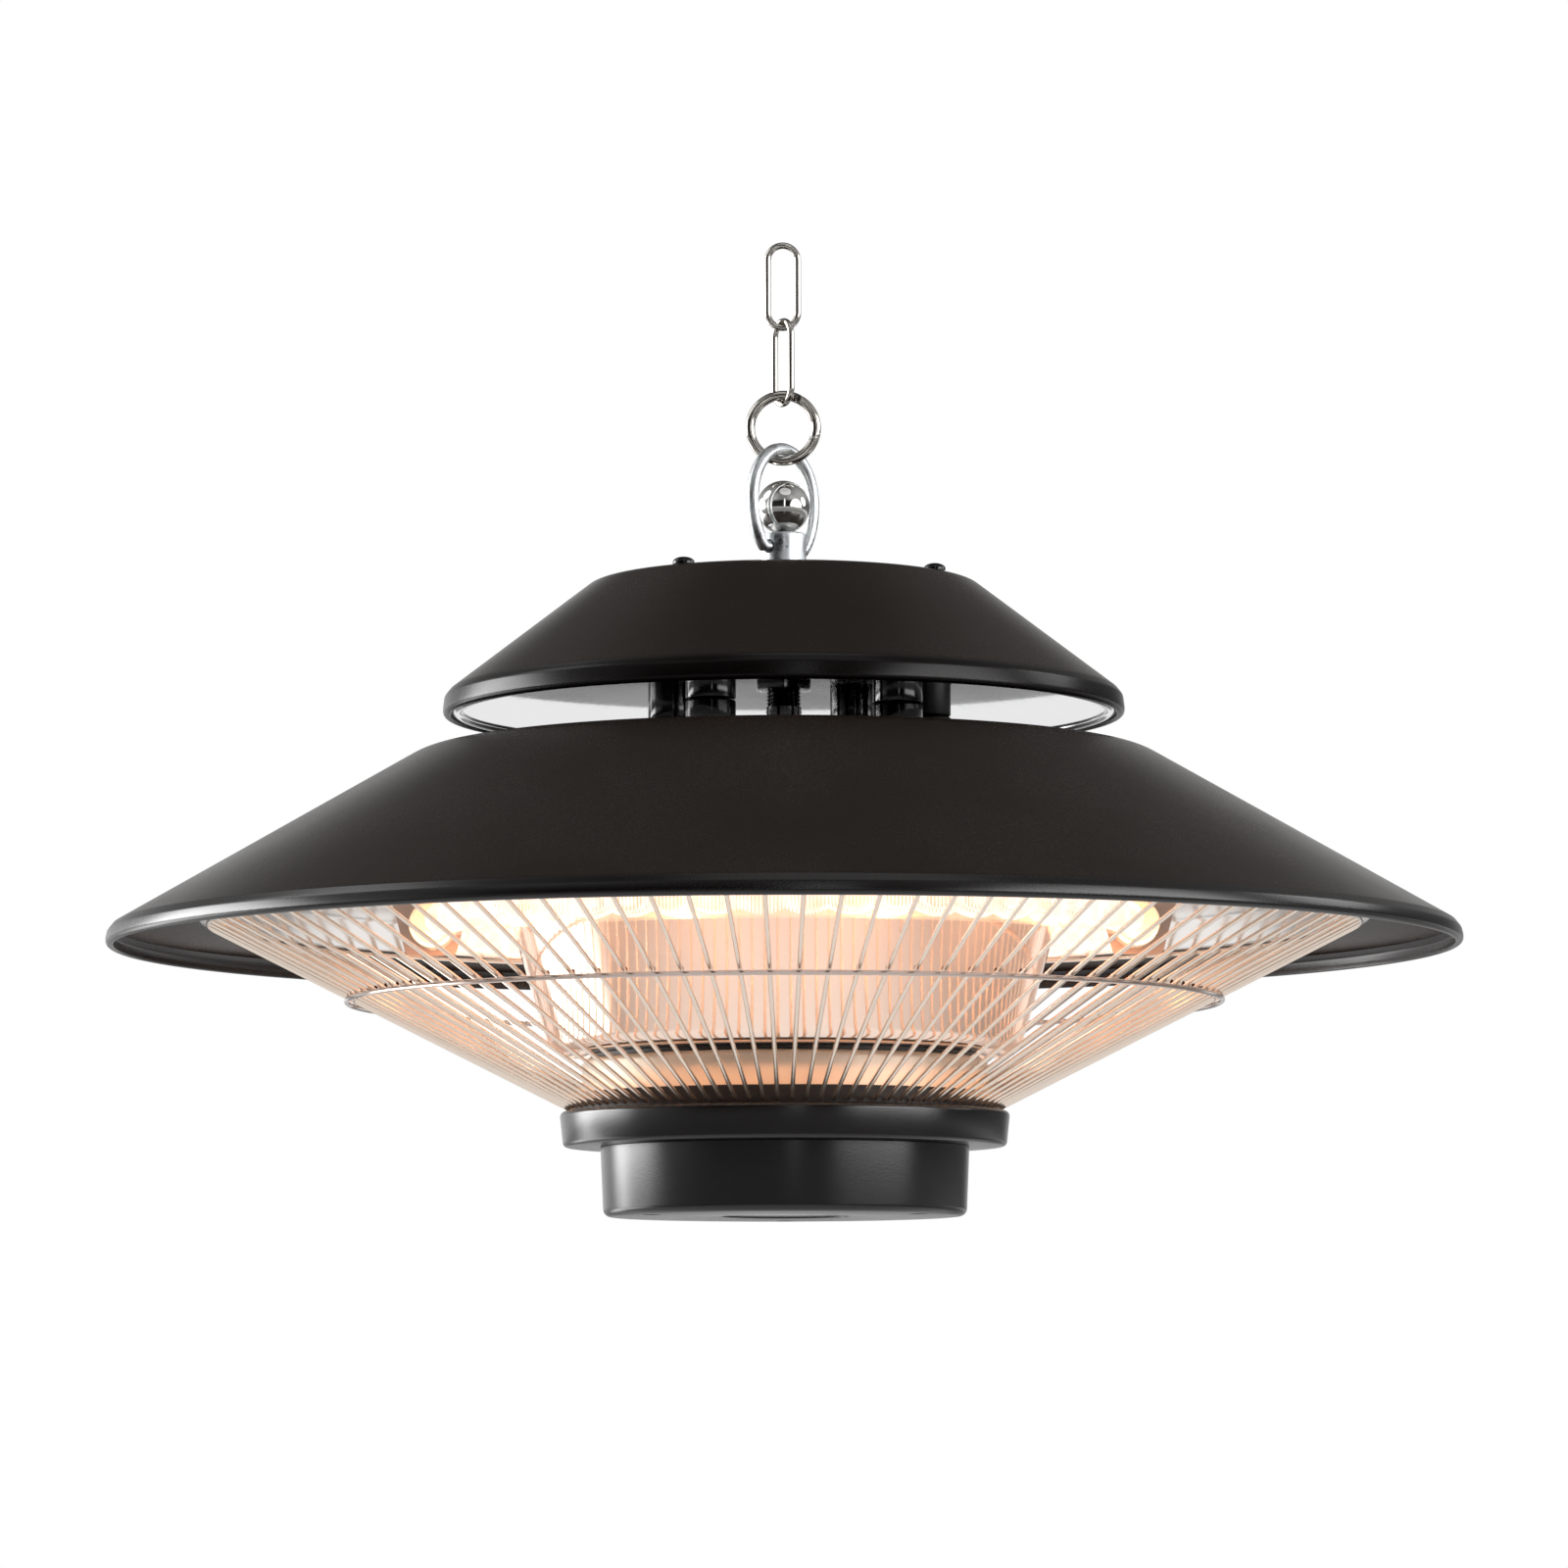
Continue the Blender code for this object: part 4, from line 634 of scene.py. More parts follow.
def swept_mesh(name, points, radius, sides=16, closed=False, shares=None):
    """A round wire along the points, its thickness following shares."""
    curve = bpy.data.curves.new(name + "_path", "CURVE")
    curve.dimensions = "3D"
    curve.bevel_depth = radius
    curve.bevel_resolution = sides // 4
    curve.use_fill_caps = True
    spline = curve.splines.new("POLY")
    spline.points.add(len(points) - 1)
    for index, (knot, point) in enumerate(zip(spline.points, points)):
        knot.co = (*point, 1.0)
        knot.radius = shares[index] if shares else 1.0
    spline.use_cyclic_u = closed
    mesh = settled(added(name + "_path", curve))
    mesh.name = name
    return outward(mesh)


def settled(source):
    """The object's evaluated mesh. The object itself is thrown away."""
    bpy.context.view_layer.update()
    graph = bpy.context.evaluated_depsgraph_get()
    mesh = bpy.data.meshes.new_from_object(source.evaluated_get(graph))
    bpy.data.objects.remove(source)
    return mesh


def box_mesh(name, size, place):
    shape = bmesh.new()
    bmesh.ops.create_cube(shape, size=1)
    bmesh.ops.scale(shape, verts=shape.verts, vec=size)
    mesh = mesh_of(name, shape)
    mesh.transform(place)
    return mesh


def carved(mesh, tools):
    """The mesh with each tool mesh cut from it."""
    target = added(mesh.name, mesh)
    cutters = [added(tool.name, tool) for tool in tools]
    for cutter in cutters:
        boolean = target.modifiers.new(cutter.name, "BOOLEAN")
        boolean.operation = "DIFFERENCE"
        boolean.object = cutter
    made = settled(target)
    for cutter in cutters:
        bpy.data.objects.remove(cutter)
    return smooth(made)


def joined(name, meshes):
    """Several closed shells as one mesh."""
    shape = bmesh.new()
    for mesh in meshes:
        shape.from_mesh(mesh)
    return smooth(mesh_of(name, shape))


# Geometry Nodes

def new_tree(name, sizes):
    """An empty tree with a named input for each size, and its inputs."""
    tree = bpy.data.node_groups.new(name, "GeometryNodeTree")
    tree.interface.new_socket("Geometry", in_out="INPUT", socket_type="NodeSocketGeometry")
    for label, kind in sizes.items():
        tree.interface.new_socket(label, in_out="INPUT", socket_type="NodeSocket" + kind)
    tree.interface.new_socket("Geometry", in_out="OUTPUT", socket_type="NodeSocketGeometry")
    return tree, tree.nodes.new("NodeGroupInput").outputs


def close_tree(tree, geometry, sizes):
    """Ends a tree in real faces with their material."""
    real = node(tree, "GeometryNodeRealizeInstances", {"Geometry": geometry})
    painted = node(tree, "GeometryNodeSetMaterial", {
        "Geometry": real.outputs["Geometry"], "Material": sizes["Material"]})
    node(tree, "NodeGroupOutput", {"Geometry": painted.outputs["Geometry"]})
    return tree


def grown(name, tree, values, start=None):
    """The plain mesh that a tree makes of its values and of the mesh that it starts from."""
    source = added(name, start or bpy.data.meshes.new(name))
    modifier = source.modifiers.new(name, "NODES")
    modifier.node_group = tree
    for item in tree.interface.items_tree:
        if item.in_out == "INPUT" and item.name in values:
            modifier[item.identifier] = values[item.name]
    mesh = settled(source)
    mesh.name = name
    return mesh


def section(tree, radius, resolution):
    """The round section of a wire, or a hoop."""
    return node(tree, "GeometryNodeCurvePrimitiveCircle", {
        "Resolution": resolution, "Radius": radius}).outputs["Curve"]


def wire_along(tree, curve, profile):
    return node(tree, "GeometryNodeCurveToMesh", {
        "Curve": curve, "Profile Curve": profile, "Fill Caps": True}).outputs["Mesh"]


def copies_round(tree, piece, count, first, radius):
    """Copies of a piece spread evenly about the axis, each facing outwards."""
    index = node(tree, "GeometryNodeInputIndex").outputs["Index"]
    step = calc(tree, "DIVIDE", 2 * math.pi, count)
    turn = plus(tree, first, times(tree, index, step))
    place = vector(tree, X=times(tree, radius, calc(tree, "COSINE", turn)),
                   Y=times(tree, radius, calc(tree, "SINE", turn)))
    points = node(tree, "GeometryNodePoints", {"Count": count, "Position": place})
    rotation = node(tree, "FunctionNodeEulerToRotation", {"Euler": vector(tree, Z=turn)})
    return node(tree, "GeometryNodeInstanceOnPoints", {
        "Points": points.outputs["Points"], "Instance": piece,
        "Rotation": rotation.outputs["Rotation"]}).outputs["Instances"]


def repeat_tree():
    """Repeats the starting mesh about the axis."""
    tree, sizes = new_tree("repeat_about_axis", {
        "Count": "Int", "First turn": "Float", "Radius": "Float", "Material": "Material"})
    copies = copies_round(
        tree, sizes["Geometry"], sizes["Count"], sizes["First turn"], sizes["Radius"])
    return close_tree(tree, copies, sizes)


def guard_tree():
    """A cone of straight wires that ends above in a hoop."""
    tree, sizes = new_tree("guard_wires", {
        "Count": "Int", "Foot radius": "Float", "Foot height": "Float", "Top radius": "Float",
        "Top height": "Float", "Wire": "Float", "Material": "Material"})
    line = node(tree, "GeometryNodeCurvePrimitiveLine", {
        "Start": vector(tree, X=sizes["Foot radius"], Z=sizes["Foot height"]),
        "End": vector(tree, X=sizes["Top radius"], Z=sizes["Top height"])}).outputs["Curve"]
    profile = section(tree, sizes["Wire"], 10)
    wires = copies_round(tree, wire_along(tree, line, profile), sizes["Count"], 0.0, 0.0)
    hoop = node(tree, "GeometryNodeTransform", {
        "Geometry": section(tree, sizes["Top radius"], 196),
        "Translation": vector(tree, Z=sizes["Top height"])}).outputs["Geometry"]
    together = node(tree, "GeometryNodeJoinGeometry")
    for part in (wires, wire_along(tree, hoop, profile)):
        tree.links.new(part, together.inputs["Geometry"])
    return close_tree(tree, together.outputs["Geometry"], sizes)


def coil_tree():
    """A wire wound round an arc, whose winding swells and narrows in scallops."""
    tree, sizes = new_tree("lamp_coil", {
        "Points": "Int", "Turns": "Float", "Scallops": "Float", "Arc radius": "Float",
        "First turn": "Float", "Sweep": "Float", "Narrow": "Float", "Wide": "Float",
        "Wire": "Float", "Material": "Material"})
    line = node(tree, "GeometryNodeCurvePrimitiveLine").outputs["Curve"]
    knots = node(tree, "GeometryNodeResampleCurve", {"Curve": line, "Count": sizes["Points"]})
    index = node(tree, "GeometryNodeInputIndex").outputs["Index"]
    share = calc(tree, "DIVIDE", index, calc(tree, "SUBTRACT", sizes["Points"], 1))
    swell = calc(tree, "ABSOLUTE", calc(
        tree, "SINE", times(tree, share, math.pi, sizes["Scallops"])))
    more = calc(tree, "SUBTRACT", sizes["Wide"], sizes["Narrow"])
    radius = plus(tree, sizes["Narrow"], times(tree, more, swell))
    winding = times(tree, share, 2 * math.pi, sizes["Turns"])
    turn = plus(tree, sizes["First turn"], times(tree, share, sizes["Sweep"]))
    out = plus(tree, sizes["Arc radius"], times(tree, radius, calc(tree, "COSINE", winding)))
    place = vector(tree, X=times(tree, out, calc(tree, "COSINE", turn)),
                   Y=times(tree, out, calc(tree, "SINE", turn)),
                   Z=times(tree, radius, calc(tree, "SINE", winding)))
    wound = node(tree, "GeometryNodeSetPosition", {
        "Geometry": knots.outputs["Curve"], "Position": place}).outputs["Geometry"]
    return close_tree(tree, wire_along(tree, wound, section(tree, sizes["Wire"], 4)), sizes)


REPEAT = repeat_tree()


def repeated(name, mesh, count, first, radius, look):
    """Copies of a mesh spread evenly about the axis, all at the height that the mesh has."""
    values = {"Count": count, "First turn": first, "Radius": radius, "Material": look}
    return smooth(grown(name, REPEAT, values, mesh))


def put_round(name, mesh, count, first, radius, node_name):
    """Puts black steel copies of a mesh in the place of the numbered pieces of that name."""
    copies = repeated(name, mesh, count, first, radius, BLACK_STEEL)
    put(name, copies, BLACK_STEEL,
        stands_for=[f"{node_name}_{index}" for index in range(1, count + 1)])


# Chain, ring and bail

def link_points(turn, middle):
    """The line of a link's wire, turned about the axis."""
    straight = (high("chain_link_upper") - low("chain_link_upper")) / 2 - LINK_WIRE - LINK_BEND
    points = []
    for half in (1, -1):
        for angle in stepped(0, math.pi, 16):
            across, rise = polar(LINK_BEND, angle)
            points.append((*polar(half * across, turn), middle + half * (straight + rise)))
    return points


def dress_links():
    for name, turn, body in (("chain_link_upper", 0, "upper_link"),
                             ("chain_link_lower", LOWER_LINK_TURN, "lower_link")):
        points = link_points(turn, (high(name) + low(name)) / 2)
        wire = swept_mesh(name + "_wire", points, LINK_WIRE, closed=True)
        put(name + "_wire", wire, NICKEL, body, [name])


def on_ring(angle):
    """The middle of the ring's wire, at an angle up from its right side."""
    across, rise = polar(RING_RADIUS, angle)
    return across, 0, low("ring_clip_body") + RING_WIRE + RING_RADIUS + rise


def ring_wire(name, end, steps):
    """The ring's wire from a round end at the hinge to an angle."""
    points = [Vector(on_ring(angle)) for angle in stepped(GATE_HINGE, end, steps)]
    back = (points[0] - points[1]).normalized()
    tip, shares = [], []
    for step in range(5):
        angle = QUARTER * (0.1 + 0.18 * step)
        tip.append(points[0] + back * RING_WIRE * math.cos(angle))
        shares.append(math.sin(angle))
    return swept_mesh(name, tip + points, RING_WIRE, shares=shares + [1.0] * len(points))


def across_disc(name, radius, near, far, centre):
    """A disc whose axis runs along Y, from one distance to another."""
    mesh = rod(name, radius, near, far, 32)
    mesh.transform(Matrix.Translation(centre) @ Matrix.Rotation(-QUARTER, 4, "X"))
    return mesh


def nose_block(name, side):
    """A block above or below the slanted cut between the ring's end and the gate's nose."""
    size = 6 * RING_WIRE
    shift = Matrix.Translation((0, 0, side * (size - NOSE_GAP) / 2))
    return box_mesh(name, (size, size, size), Matrix.Translation(on_ring(GATE_NOSE))
                    @ Matrix.Rotation(-NOSE_SLANT, 4, "Y") @ shift)


def dress_ring():
    """The ring with its tongue, the gate with its slot, and the pin through both."""
    hinge = on_ring(GATE_HINGE)
    past = 2 * RING_WIRE / RING_RADIUS
    pocket, cheek, slot = RING_WIRE + GAP, 2 * RING_WIRE, RING_TONGUE + GATE_PLAY
    body = carved(ring_wire("ring_wire", GATE_NOSE + 2 * math.pi + past, 72), [
        across_disc("front_cheek", pocket, RING_TONGUE, cheek, hinge),
        across_disc("back_cheek", pocket, -cheek, -RING_TONGUE, hinge),
        nose_block("ring_end", 1)])
    put("ring_wire", body, NICKEL, "ring", ["ring_clip_body"])
    pin = across_disc("ring_pin", RING_PIN, -RING_WIRE, RING_WIRE, hinge)
    put("ring_pin", pin, NICKEL, "ring", ["ring_clip_pin"])
    gate = carved(ring_wire("gate_wire", GATE_NOSE - past, 20), [
        across_disc("gate_slot", pocket, -slot, slot, hinge),
        across_disc("gate_pin_hole", RING_PIN + GATE_PLAY, -cheek, cheek, hinge),
        nose_block("gate_nose", -1)])
    put("gate_wire", gate, NICKEL, "gate", ["ring_clip_gate"])


def dress_bail():
    """Bent wire: a round top, sides that draw in below, and two tips in the stem's hole."""
    pivot = low("hanging_bail") + BAIL_WIRE
    top = high("hanging_bail") - BAIL_WIRE - pivot
    foot = reach("suspension_stem") + BAIL_WIRE + GAP
    lower = BAIL_SHOULDER / math.sqrt(1 - (foot / BAIL_HALF_WIDTH) ** 2)
    start = -math.asin(BAIL_SHOULDER / lower)
    line = [(BAIL_TIP, 0), (foot - BAIL_CORNER, 0)]
    for angle in stepped(start, math.pi - start, 48):
        across, rise = polar(1, angle)
        line.append((BAIL_HALF_WIDTH * across,
                     BAIL_SHOULDER + rise * (top - BAIL_SHOULDER if rise > 0 else lower)))
    line += [(BAIL_CORNER - foot, 0), (-BAIL_TIP, 0)]
    points = [(*polar(across, BAIL_TURN), pivot + rise) for across, rise in line]
    put("bail_wire", swept_mesh("bail_wire", points, BAIL_WIRE, 20), ZINC, "bail", ["hanging_bail"])


# Stem, ball, nuts and posts

def dress_stem():
    base, top, radius = extent("suspension_stem")
    stem = turned_mesh("stem_turned", rounded(
        [(0, top), (radius, top), (radius, base), (0, base)], {1: 0.0009, 2: 0.0005}, 6), 64)
    hole = across_disc("bail_hole", BAIL_WIRE + BAIL_PLAY, -2 * radius, 2 * radius, (0, 0, 0))
    hole.transform(Matrix.Translation((0, 0, low("hanging_bail") + BAIL_WIRE))
                   @ Matrix.Rotation(BAIL_TURN - QUARTER, 4, "Z"))
    put("stem_turned", carved(stem, [hole]), ZINC, stands_for=["suspension_stem"])


def dress_ball():
    flat, centre = low("ball_finial"), high("ball_finial") - BALL_RADIUS
    outline = []
    for angle in stepped(QUARTER, math.asin((flat - centre) / BALL_RADIUS), 32):
        across, rise = polar(BALL_RADIUS, angle)
        outline.append((across, centre + rise))
    outline[0] = (0, centre + BALL_RADIUS)
    put_turned("ball_turned", outline + [(0, flat)], 96, CHROME, "ball_finial")


def thread_outline(base, top):
    """The outside of the threaded tube, as close rings."""
    points, height = [], top
    while height > base:
        points += [(TUBE_RADIUS, height),
                   (TUBE_RADIUS - THREAD_DEPTH, max(height - THREAD_PITCH / 2, base))]
        height -= THREAD_PITCH
    return points + [(TUBE_RADIUS, base)]


def dress_tube():
    """The tube, with its thread between the tiers, where it is in sight."""
    base, top = high("shade_nut"), low("upper_reflector_pan") - GAP
    outline = [(TUBE_BORE, top), *thread_outline(base, top), (TUBE_BORE, base)]
    parts = [turned_mesh("tube_thread", outline, 48)]
    for start, end in ((top, high("hanging_tube")), (low("hanging_tube"), base)):
        parts.append(turned_mesh("tube_part", [
            (TUBE_BORE, start), (TUBE_RADIUS, start), (TUBE_RADIUS, end), (TUBE_BORE, end)], 48))
    put("tube_thread", joined("tube_thread", parts), BLACK_STEEL, stands_for=["hanging_tube"])


def hexagon_nut(name, radius, base, top, bore, bevel):
    shape = bmesh.new()
    bmesh.ops.create_cone(shape, cap_ends=True, segments=6, radius1=radius, radius2=radius,
                          depth=top - base, matrix=Matrix.Translation((0, 0, (base + top) / 2)))
    bmesh.ops.bevel(shape, geom=shape.edges, offset=bevel, segments=3, affect="EDGES", profile=0.6)
    return carved(mesh_of(name, shape), [rod("bore", bore, base - OVERCUT, top + OVERCUT, 48)])


def dress_shade_nut():
    base, top = low("shade_nut"), high("shade_nut")
    seat = base + WASHER_HEIGHT
    washer = turned_mesh("washer", rounded(
        [(TUBE_HOLE, seat), (WASHER_RADIUS, seat), (WASHER_RADIUS, base), (TUBE_HOLE, base)],
        {1: 0.0005, 2: 0.0003}, 3), 64)
    nut = hexagon_nut("nut", NUT_RADIUS, seat, top, TUBE_HOLE, 0.0006)
    put("shade_nut_turned", joined("shade_nut_turned", [nut, washer]), BLACK_STEEL,
        stands_for=["shade_nut"])


def dress_posts():
    base, top = high("main_shade") + GAP, low("upper_reflector_pan") + PAN_DROP - GAP
    post = turned_mesh("post", rounded(
        [(0, top), (POST_RADIUS, top), (POST_RADIUS, base), (0, base)],
        {1: 0.0006, 2: 0.0006}, 4), 64)
    put_round("spacer_posts", post, 4, POST_ANGLE, POST_CIRCLE, "spacer_post")


def dress_sleeve():
    """The sleeve round the wiring, with a flange where it stands on the main shade."""
    base, top = high("main_shade") + GAP, low("upper_reflector_pan") + PAN_DROP - GAP
    step = base + SLEEVE_FLANGE_HEIGHT
    sleeve = turned_mesh("wiring_sleeve_turned", rounded(
        [(CABLE_HOLE, top), (SLEEVE_RADIUS, top), (SLEEVE_RADIUS, step), (SLEEVE_FLANGE, step),
         (SLEEVE_FLANGE, base), (CABLE_HOLE, base)], {1: 0.0006, 2: 0.0009, 3: 0.0007}, 4), 64)
    middle = sum(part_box("wiring_sleeve"), Vector()) / 2
    sleeve.transform(Matrix.Translation((middle.x, middle.y, 0)))
    put("wiring_sleeve_turned", sleeve, BLACK_PLASTIC, stands_for=["wiring_sleeve"])


def dome_screw(radius, height, shank, seat):
    """A dome head with a cross recess, on a short shank."""
    outline = [(radius * math.sin(angle), seat + height * (0.25 + 0.75 * math.cos(angle)))
               for angle in stepped(0, QUARTER, 8)]
    outline += [(radius, seat), (radius / 2, seat), (radius / 2, seat - shank), (0, seat - shank)]
    arm, width, depth = radius * 1.05, radius * 0.2, height * 0.9
    place = Matrix.Translation((0, 0, seat + height))
    return carved(turned_mesh("head", outline, 32), [
        box_mesh("slot", size, place) for size in ((arm, width, depth), (width, arm, depth))])


def dress_screws():
    screw = dome_screw(*SHADE_SCREW, high("upper_shade") + GAP)
    put_round("shade_screws", screw, 4, SCREW_ANGLE, SCREW_CIRCLE, "shade_screw")
    screw = dome_screw(*CAP_SCREW, -CAP_SCREW[1])
    screw.transform(Matrix.Translation((0, 0, low("cap_screw_1"))) @ Matrix.Rotation(math.pi, 4, "X"))
    put_round("cap_screws", screw, 3, QUARTER, CAP_SCREW_CIRCLE, "cap_screw")


def dress_gland():
    """The cable gland: a hexagon foot, a ribbed dome nut, its seal, and the locknut under the shade."""
    foot, base, top = low("cable_gland"), high("upper_shade") + GAP, high("cable_gland")
    seat, under = base + GLAND_FOOT_HEIGHT, base - UPPER_WALL - 2 * GAP
    slope = seat + GLAND_DOME_STEP
    dome = rounded([(CABLE_HOLE, top), (GLAND_TOP, top), (GLAND_DOME, slope),
                    (GLAND_DOME, seat), (CABLE_HOLE, seat)], {1: 0.0015, 2: 0.0006}, 4)
    locknut = [(CABLE_HOLE, base), (GLAND_NECK, base), (GLAND_NECK, under), (GLAND_LOCKNUT, under),
               (GLAND_LOCKNUT, foot), (CABLE_HOLE, foot)]
    slant = math.atan2(GLAND_DOME - GLAND_TOP, top - slope)
    rib = box_mesh("rib", GLAND_RIB, Matrix.Translation((0, 0, (top + seat) / 2))
                   @ Matrix.Rotation(-slant, 4, "Y"))
    gland = joined("gland_body", [
        hexagon_nut("gland_foot", GLAND_FOOT, base, seat, CABLE_HOLE, 0.0005),
        turned_mesh("dome", dome, 64),
        repeated("ribs", rib, 24, 0.0, GLAND_RIB_CIRCLE, BLACK_PLASTIC),
        turned_mesh("locknut", locknut, 32),
        rod("seal", CABLE_HOLE, top - SEAL_FOOT, top - SEAL_TOP, 32)])
    middle = sum(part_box("cable_gland"), Vector()) / 2
    gland.transform(Matrix.Translation((0, middle.y, 0)))
    put("gland_body", gland, BLACK_PLASTIC, stands_for=["cable_gland"])


# Shades, pan and plate

def shade_outline(node_name, shoulder, fillet, crease, wall):
    """Flat top, cone, crease, and a lip that rolls under into a hem."""
    base, top, radius = extent(node_name)
    line = rounded([
        (TUBE_HOLE, top),
        (shoulder, top),
        (radius - LIP_STEP, base + crease),
        (radius - LIP_LEAN, base + crease - LIP_STEP),
        (radius, base + LIP_FOOT),
        (radius, base),
        (radius - HEM_WIDTH, base),
        (radius - HEM_WIDTH, base + HEM_RISE),
    ], {1: fillet, 2: 0.0012, 3: 0.0028, 5: 0.0022, 6: 0.0008}, 8)
    return walled(line, wall)


def dress_shades():
    outline = shade_outline("upper_shade", UPPER_SHOULDER, 0.010, UPPER_CREASE, UPPER_WALL)
    put_turned("upper_shade_spun", outline, 224, COAT, "upper_shade")
    outline = shade_outline("main_shade", SHADE_SHOULDER, 0.025, SHADE_CREASE, SHADE_WALL)
    put_turned("main_shade_spun", outline, 288, COAT, "main_shade")


def dress_pan():
    """A flat sheet whose edge rolls down into a bead and turns up."""
    base, rim, radius = extent("upper_reflector_pan")
    flat = base + PAN_DROP
    line = [(TUBE_HOLE, flat), (radius - PAN_FLAT, flat)]
    for angle in stepped(0, math.pi, 12):
        line.append((radius - PAN_BEAD - PAN_BEAD_RADIUS * math.cos(angle),
                     flat - PAN_DROP * math.sin(angle)))
    line += [(radius, flat), (radius, rim)]
    put_turned("pan_spun", walled(line, -PAN_WALL), 224, MIRROR, "upper_reflector_pan")


def dress_plate():
    """A sheet with a raised middle, a flat rim and a low lip, drawn along its upper side."""
    base, radius = low("reflector_plate"), reach("reflector_plate")
    inner, side = radius - PLATE_RIM, base + SPUN_WALL
    line = rounded([(TUBE_HOLE, side + PLATE_DISH), (inner - PLATE_SLOPE, side + PLATE_DISH),
                    (inner, side), (radius, side), (radius, base + PLATE_LIP)],
                   {1: 0.006, 2: 0.004, 3: 0.0012}, 5)
    put_turned("plate_spun", walled(line, SPUN_WALL), 224, POLISHED, "reflector_plate")


# Lamps

def lamp_arc(height):
    """The middle of the back lamp's tube: an arc with a straight leg at each end."""
    foot = LAMP_FACE + LAMP_CAP_FLOOR + GAP
    arc = [polar(LAMP_CIRCLE, angle)
           for angle in stepped(LAMP_BEND_START, math.pi - LAMP_BEND_START, 72)]
    return [(x, y, height) for x, y in ((LAMP_LEG_X, foot), *arc, (-LAMP_LEG_X, foot))]


def lead_curl(height, side):
    """The lead wire from a lamp's cap to its coil, with one loop in it."""
    points = []
    for share in stepped(0, 1, 40):
        loop = 4 * math.pi * share
        swing = LEAD_LOOP * math.exp(-((share - 0.3) / 0.16) ** 2)
        out = LAMP_CIRCLE + swing * math.cos(loop) + LEAD_BOW * math.sin(5 * share)
        x, y = polar(out, LAMP_BEND_START * 0.55 + share * LEAD_SWEEP)
        points.append((side * x, y, height + swing * math.sin(loop) - LEAD_SINK * share))
    return points


def dress_lamps():
    """Two half rings alike: a clear tube with its bore, the coil in it and a lead at each end."""
    height = (low("lamp_tube_front") + high("lamp_tube_front")) / 2
    points = lamp_arc(height)
    coil = coil_tree()
    sweep = math.pi - 2 * COIL_MARGIN
    values = {"Points": COIL_POINTS, "Turns": COIL_TURNS, "Arc radius": LAMP_CIRCLE,
              "Scallops": round(sweep * LAMP_CIRCLE / COIL_SCALLOP), "First turn": COIL_MARGIN,
              "Sweep": sweep, "Narrow": COIL_NARROW, "Wide": COIL_WIDE, "Wire": COIL_WIRE,
              "Material": ELEMENT}
    for side, turn in (("back", 0.0), ("front", math.pi)):
        bore = swept_mesh("bore", points[1:-1], LAMP_TUBE - LAMP_WALL, 20)
        bore.flip_normals()
        tube = joined(f"quartz_{side}", [swept_mesh("tube", points, LAMP_TUBE, 20), bore])
        wound = grown(f"coil_{side}", coil, values)
        wound.transform(Matrix.Translation((0, 0, height)))
        leads = joined(f"lamp_leads_{side}", [
            swept_mesh("lead", lead_curl(height, end), LEAD_WIRE, 8) for end in (1, -1)])
        for mesh in (tube, wound, leads):
            mesh.transform(Matrix.Rotation(turn, 4, "Z"))
        put(f"quartz_{side}", tube, QUARTZ, stands_for=[f"lamp_tube_{side}"])
        put(f"coil_{side}", smooth(wound, 60), ELEMENT, stands_for=[f"heating_element_{side}"])
        put(f"lamp_leads_{side}", leads, LEAD)


def dress_lamp_caps():
    """Caps with a groove round them, each open towards its lamp."""
    for side, facing in (("back", 1), ("front", -1)):
        for end in ("left", "right"):
            name = f"lamp_cap_{side}_{end}"
            near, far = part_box(name)
            middle = (near + far) / 2
            length, radius = far.y - near.y, (far.z - near.z) / 2
            bore, groove = LAMP_TUBE + GAP, radius - LAMP_CAP_GROOVE
            cap = turned_mesh(name + "_turned", rounded([
                (0, length * 0.55), (bore, length * 0.55), (bore, length), (radius, length),
                (radius, length * 0.32), (groove, length * 0.3), (groove, length * 0.2),
                (radius, length * 0.18), (radius, 0), (0, 0)], {3: 0.0006, 8: 0.0008}, 4), 40)
            start = middle.y - facing * length / 2
            cap.transform(Matrix.Translation((middle.x, start, middle.z))
                          @ Matrix.Rotation(-QUARTER * facing, 4, "X"))
            put(name + "_turned", cap, CERAMIC, stands_for=[name])


# Column, guard and housing

def dress_column():
    """The column, the dark seam under it and the polished ring below the seam."""
    base, top = low("central_column"), high("central_column")
    line = rounded([(COLUMN_TOP, top), (COLUMN_FOOT, base), (TUBE_HOLE, base)], {1: 0.008}, 10)
    put_turned("column_spun", walled(line, SPUN_WALL), 192, COLUMN, "central_column")
    base, top, radius = extent("column_gasket")
    outline = [(TUBE_HOLE, top), (radius, top), (radius, base), (TUBE_HOLE, base)]
    put_turned("gasket_cut", outline, 160, BLACK_PLASTIC, "column_gasket")
    base, top, radius = extent("column_lower_ring")
    line = rounded([(TUBE_HOLE, top), (radius, top), (radius, base)], {1: 0.003}, 6)
    put_turned("lower_ring_spun", walled(line, SPUN_WALL), 192, LOWER_RING, "column_lower_ring")


def dress_guard():
    base, top, outer = extent("guard_cage")
    values = {"Count": GUARD_WIRES, "Wire": GUARD_WIRE, "Material": GUARD_CHROME,
              "Foot radius": GUARD_FOOT, "Foot height": base + GUARD_WIRE,
              "Top radius": outer - GUARD_WIRE, "Top height": top - GUARD_WIRE}
    cage = smooth(grown("guard_wires", guard_tree(), values), 50)
    put("guard_wires", cage, GUARD_CHROME, stands_for=["guard_cage"])


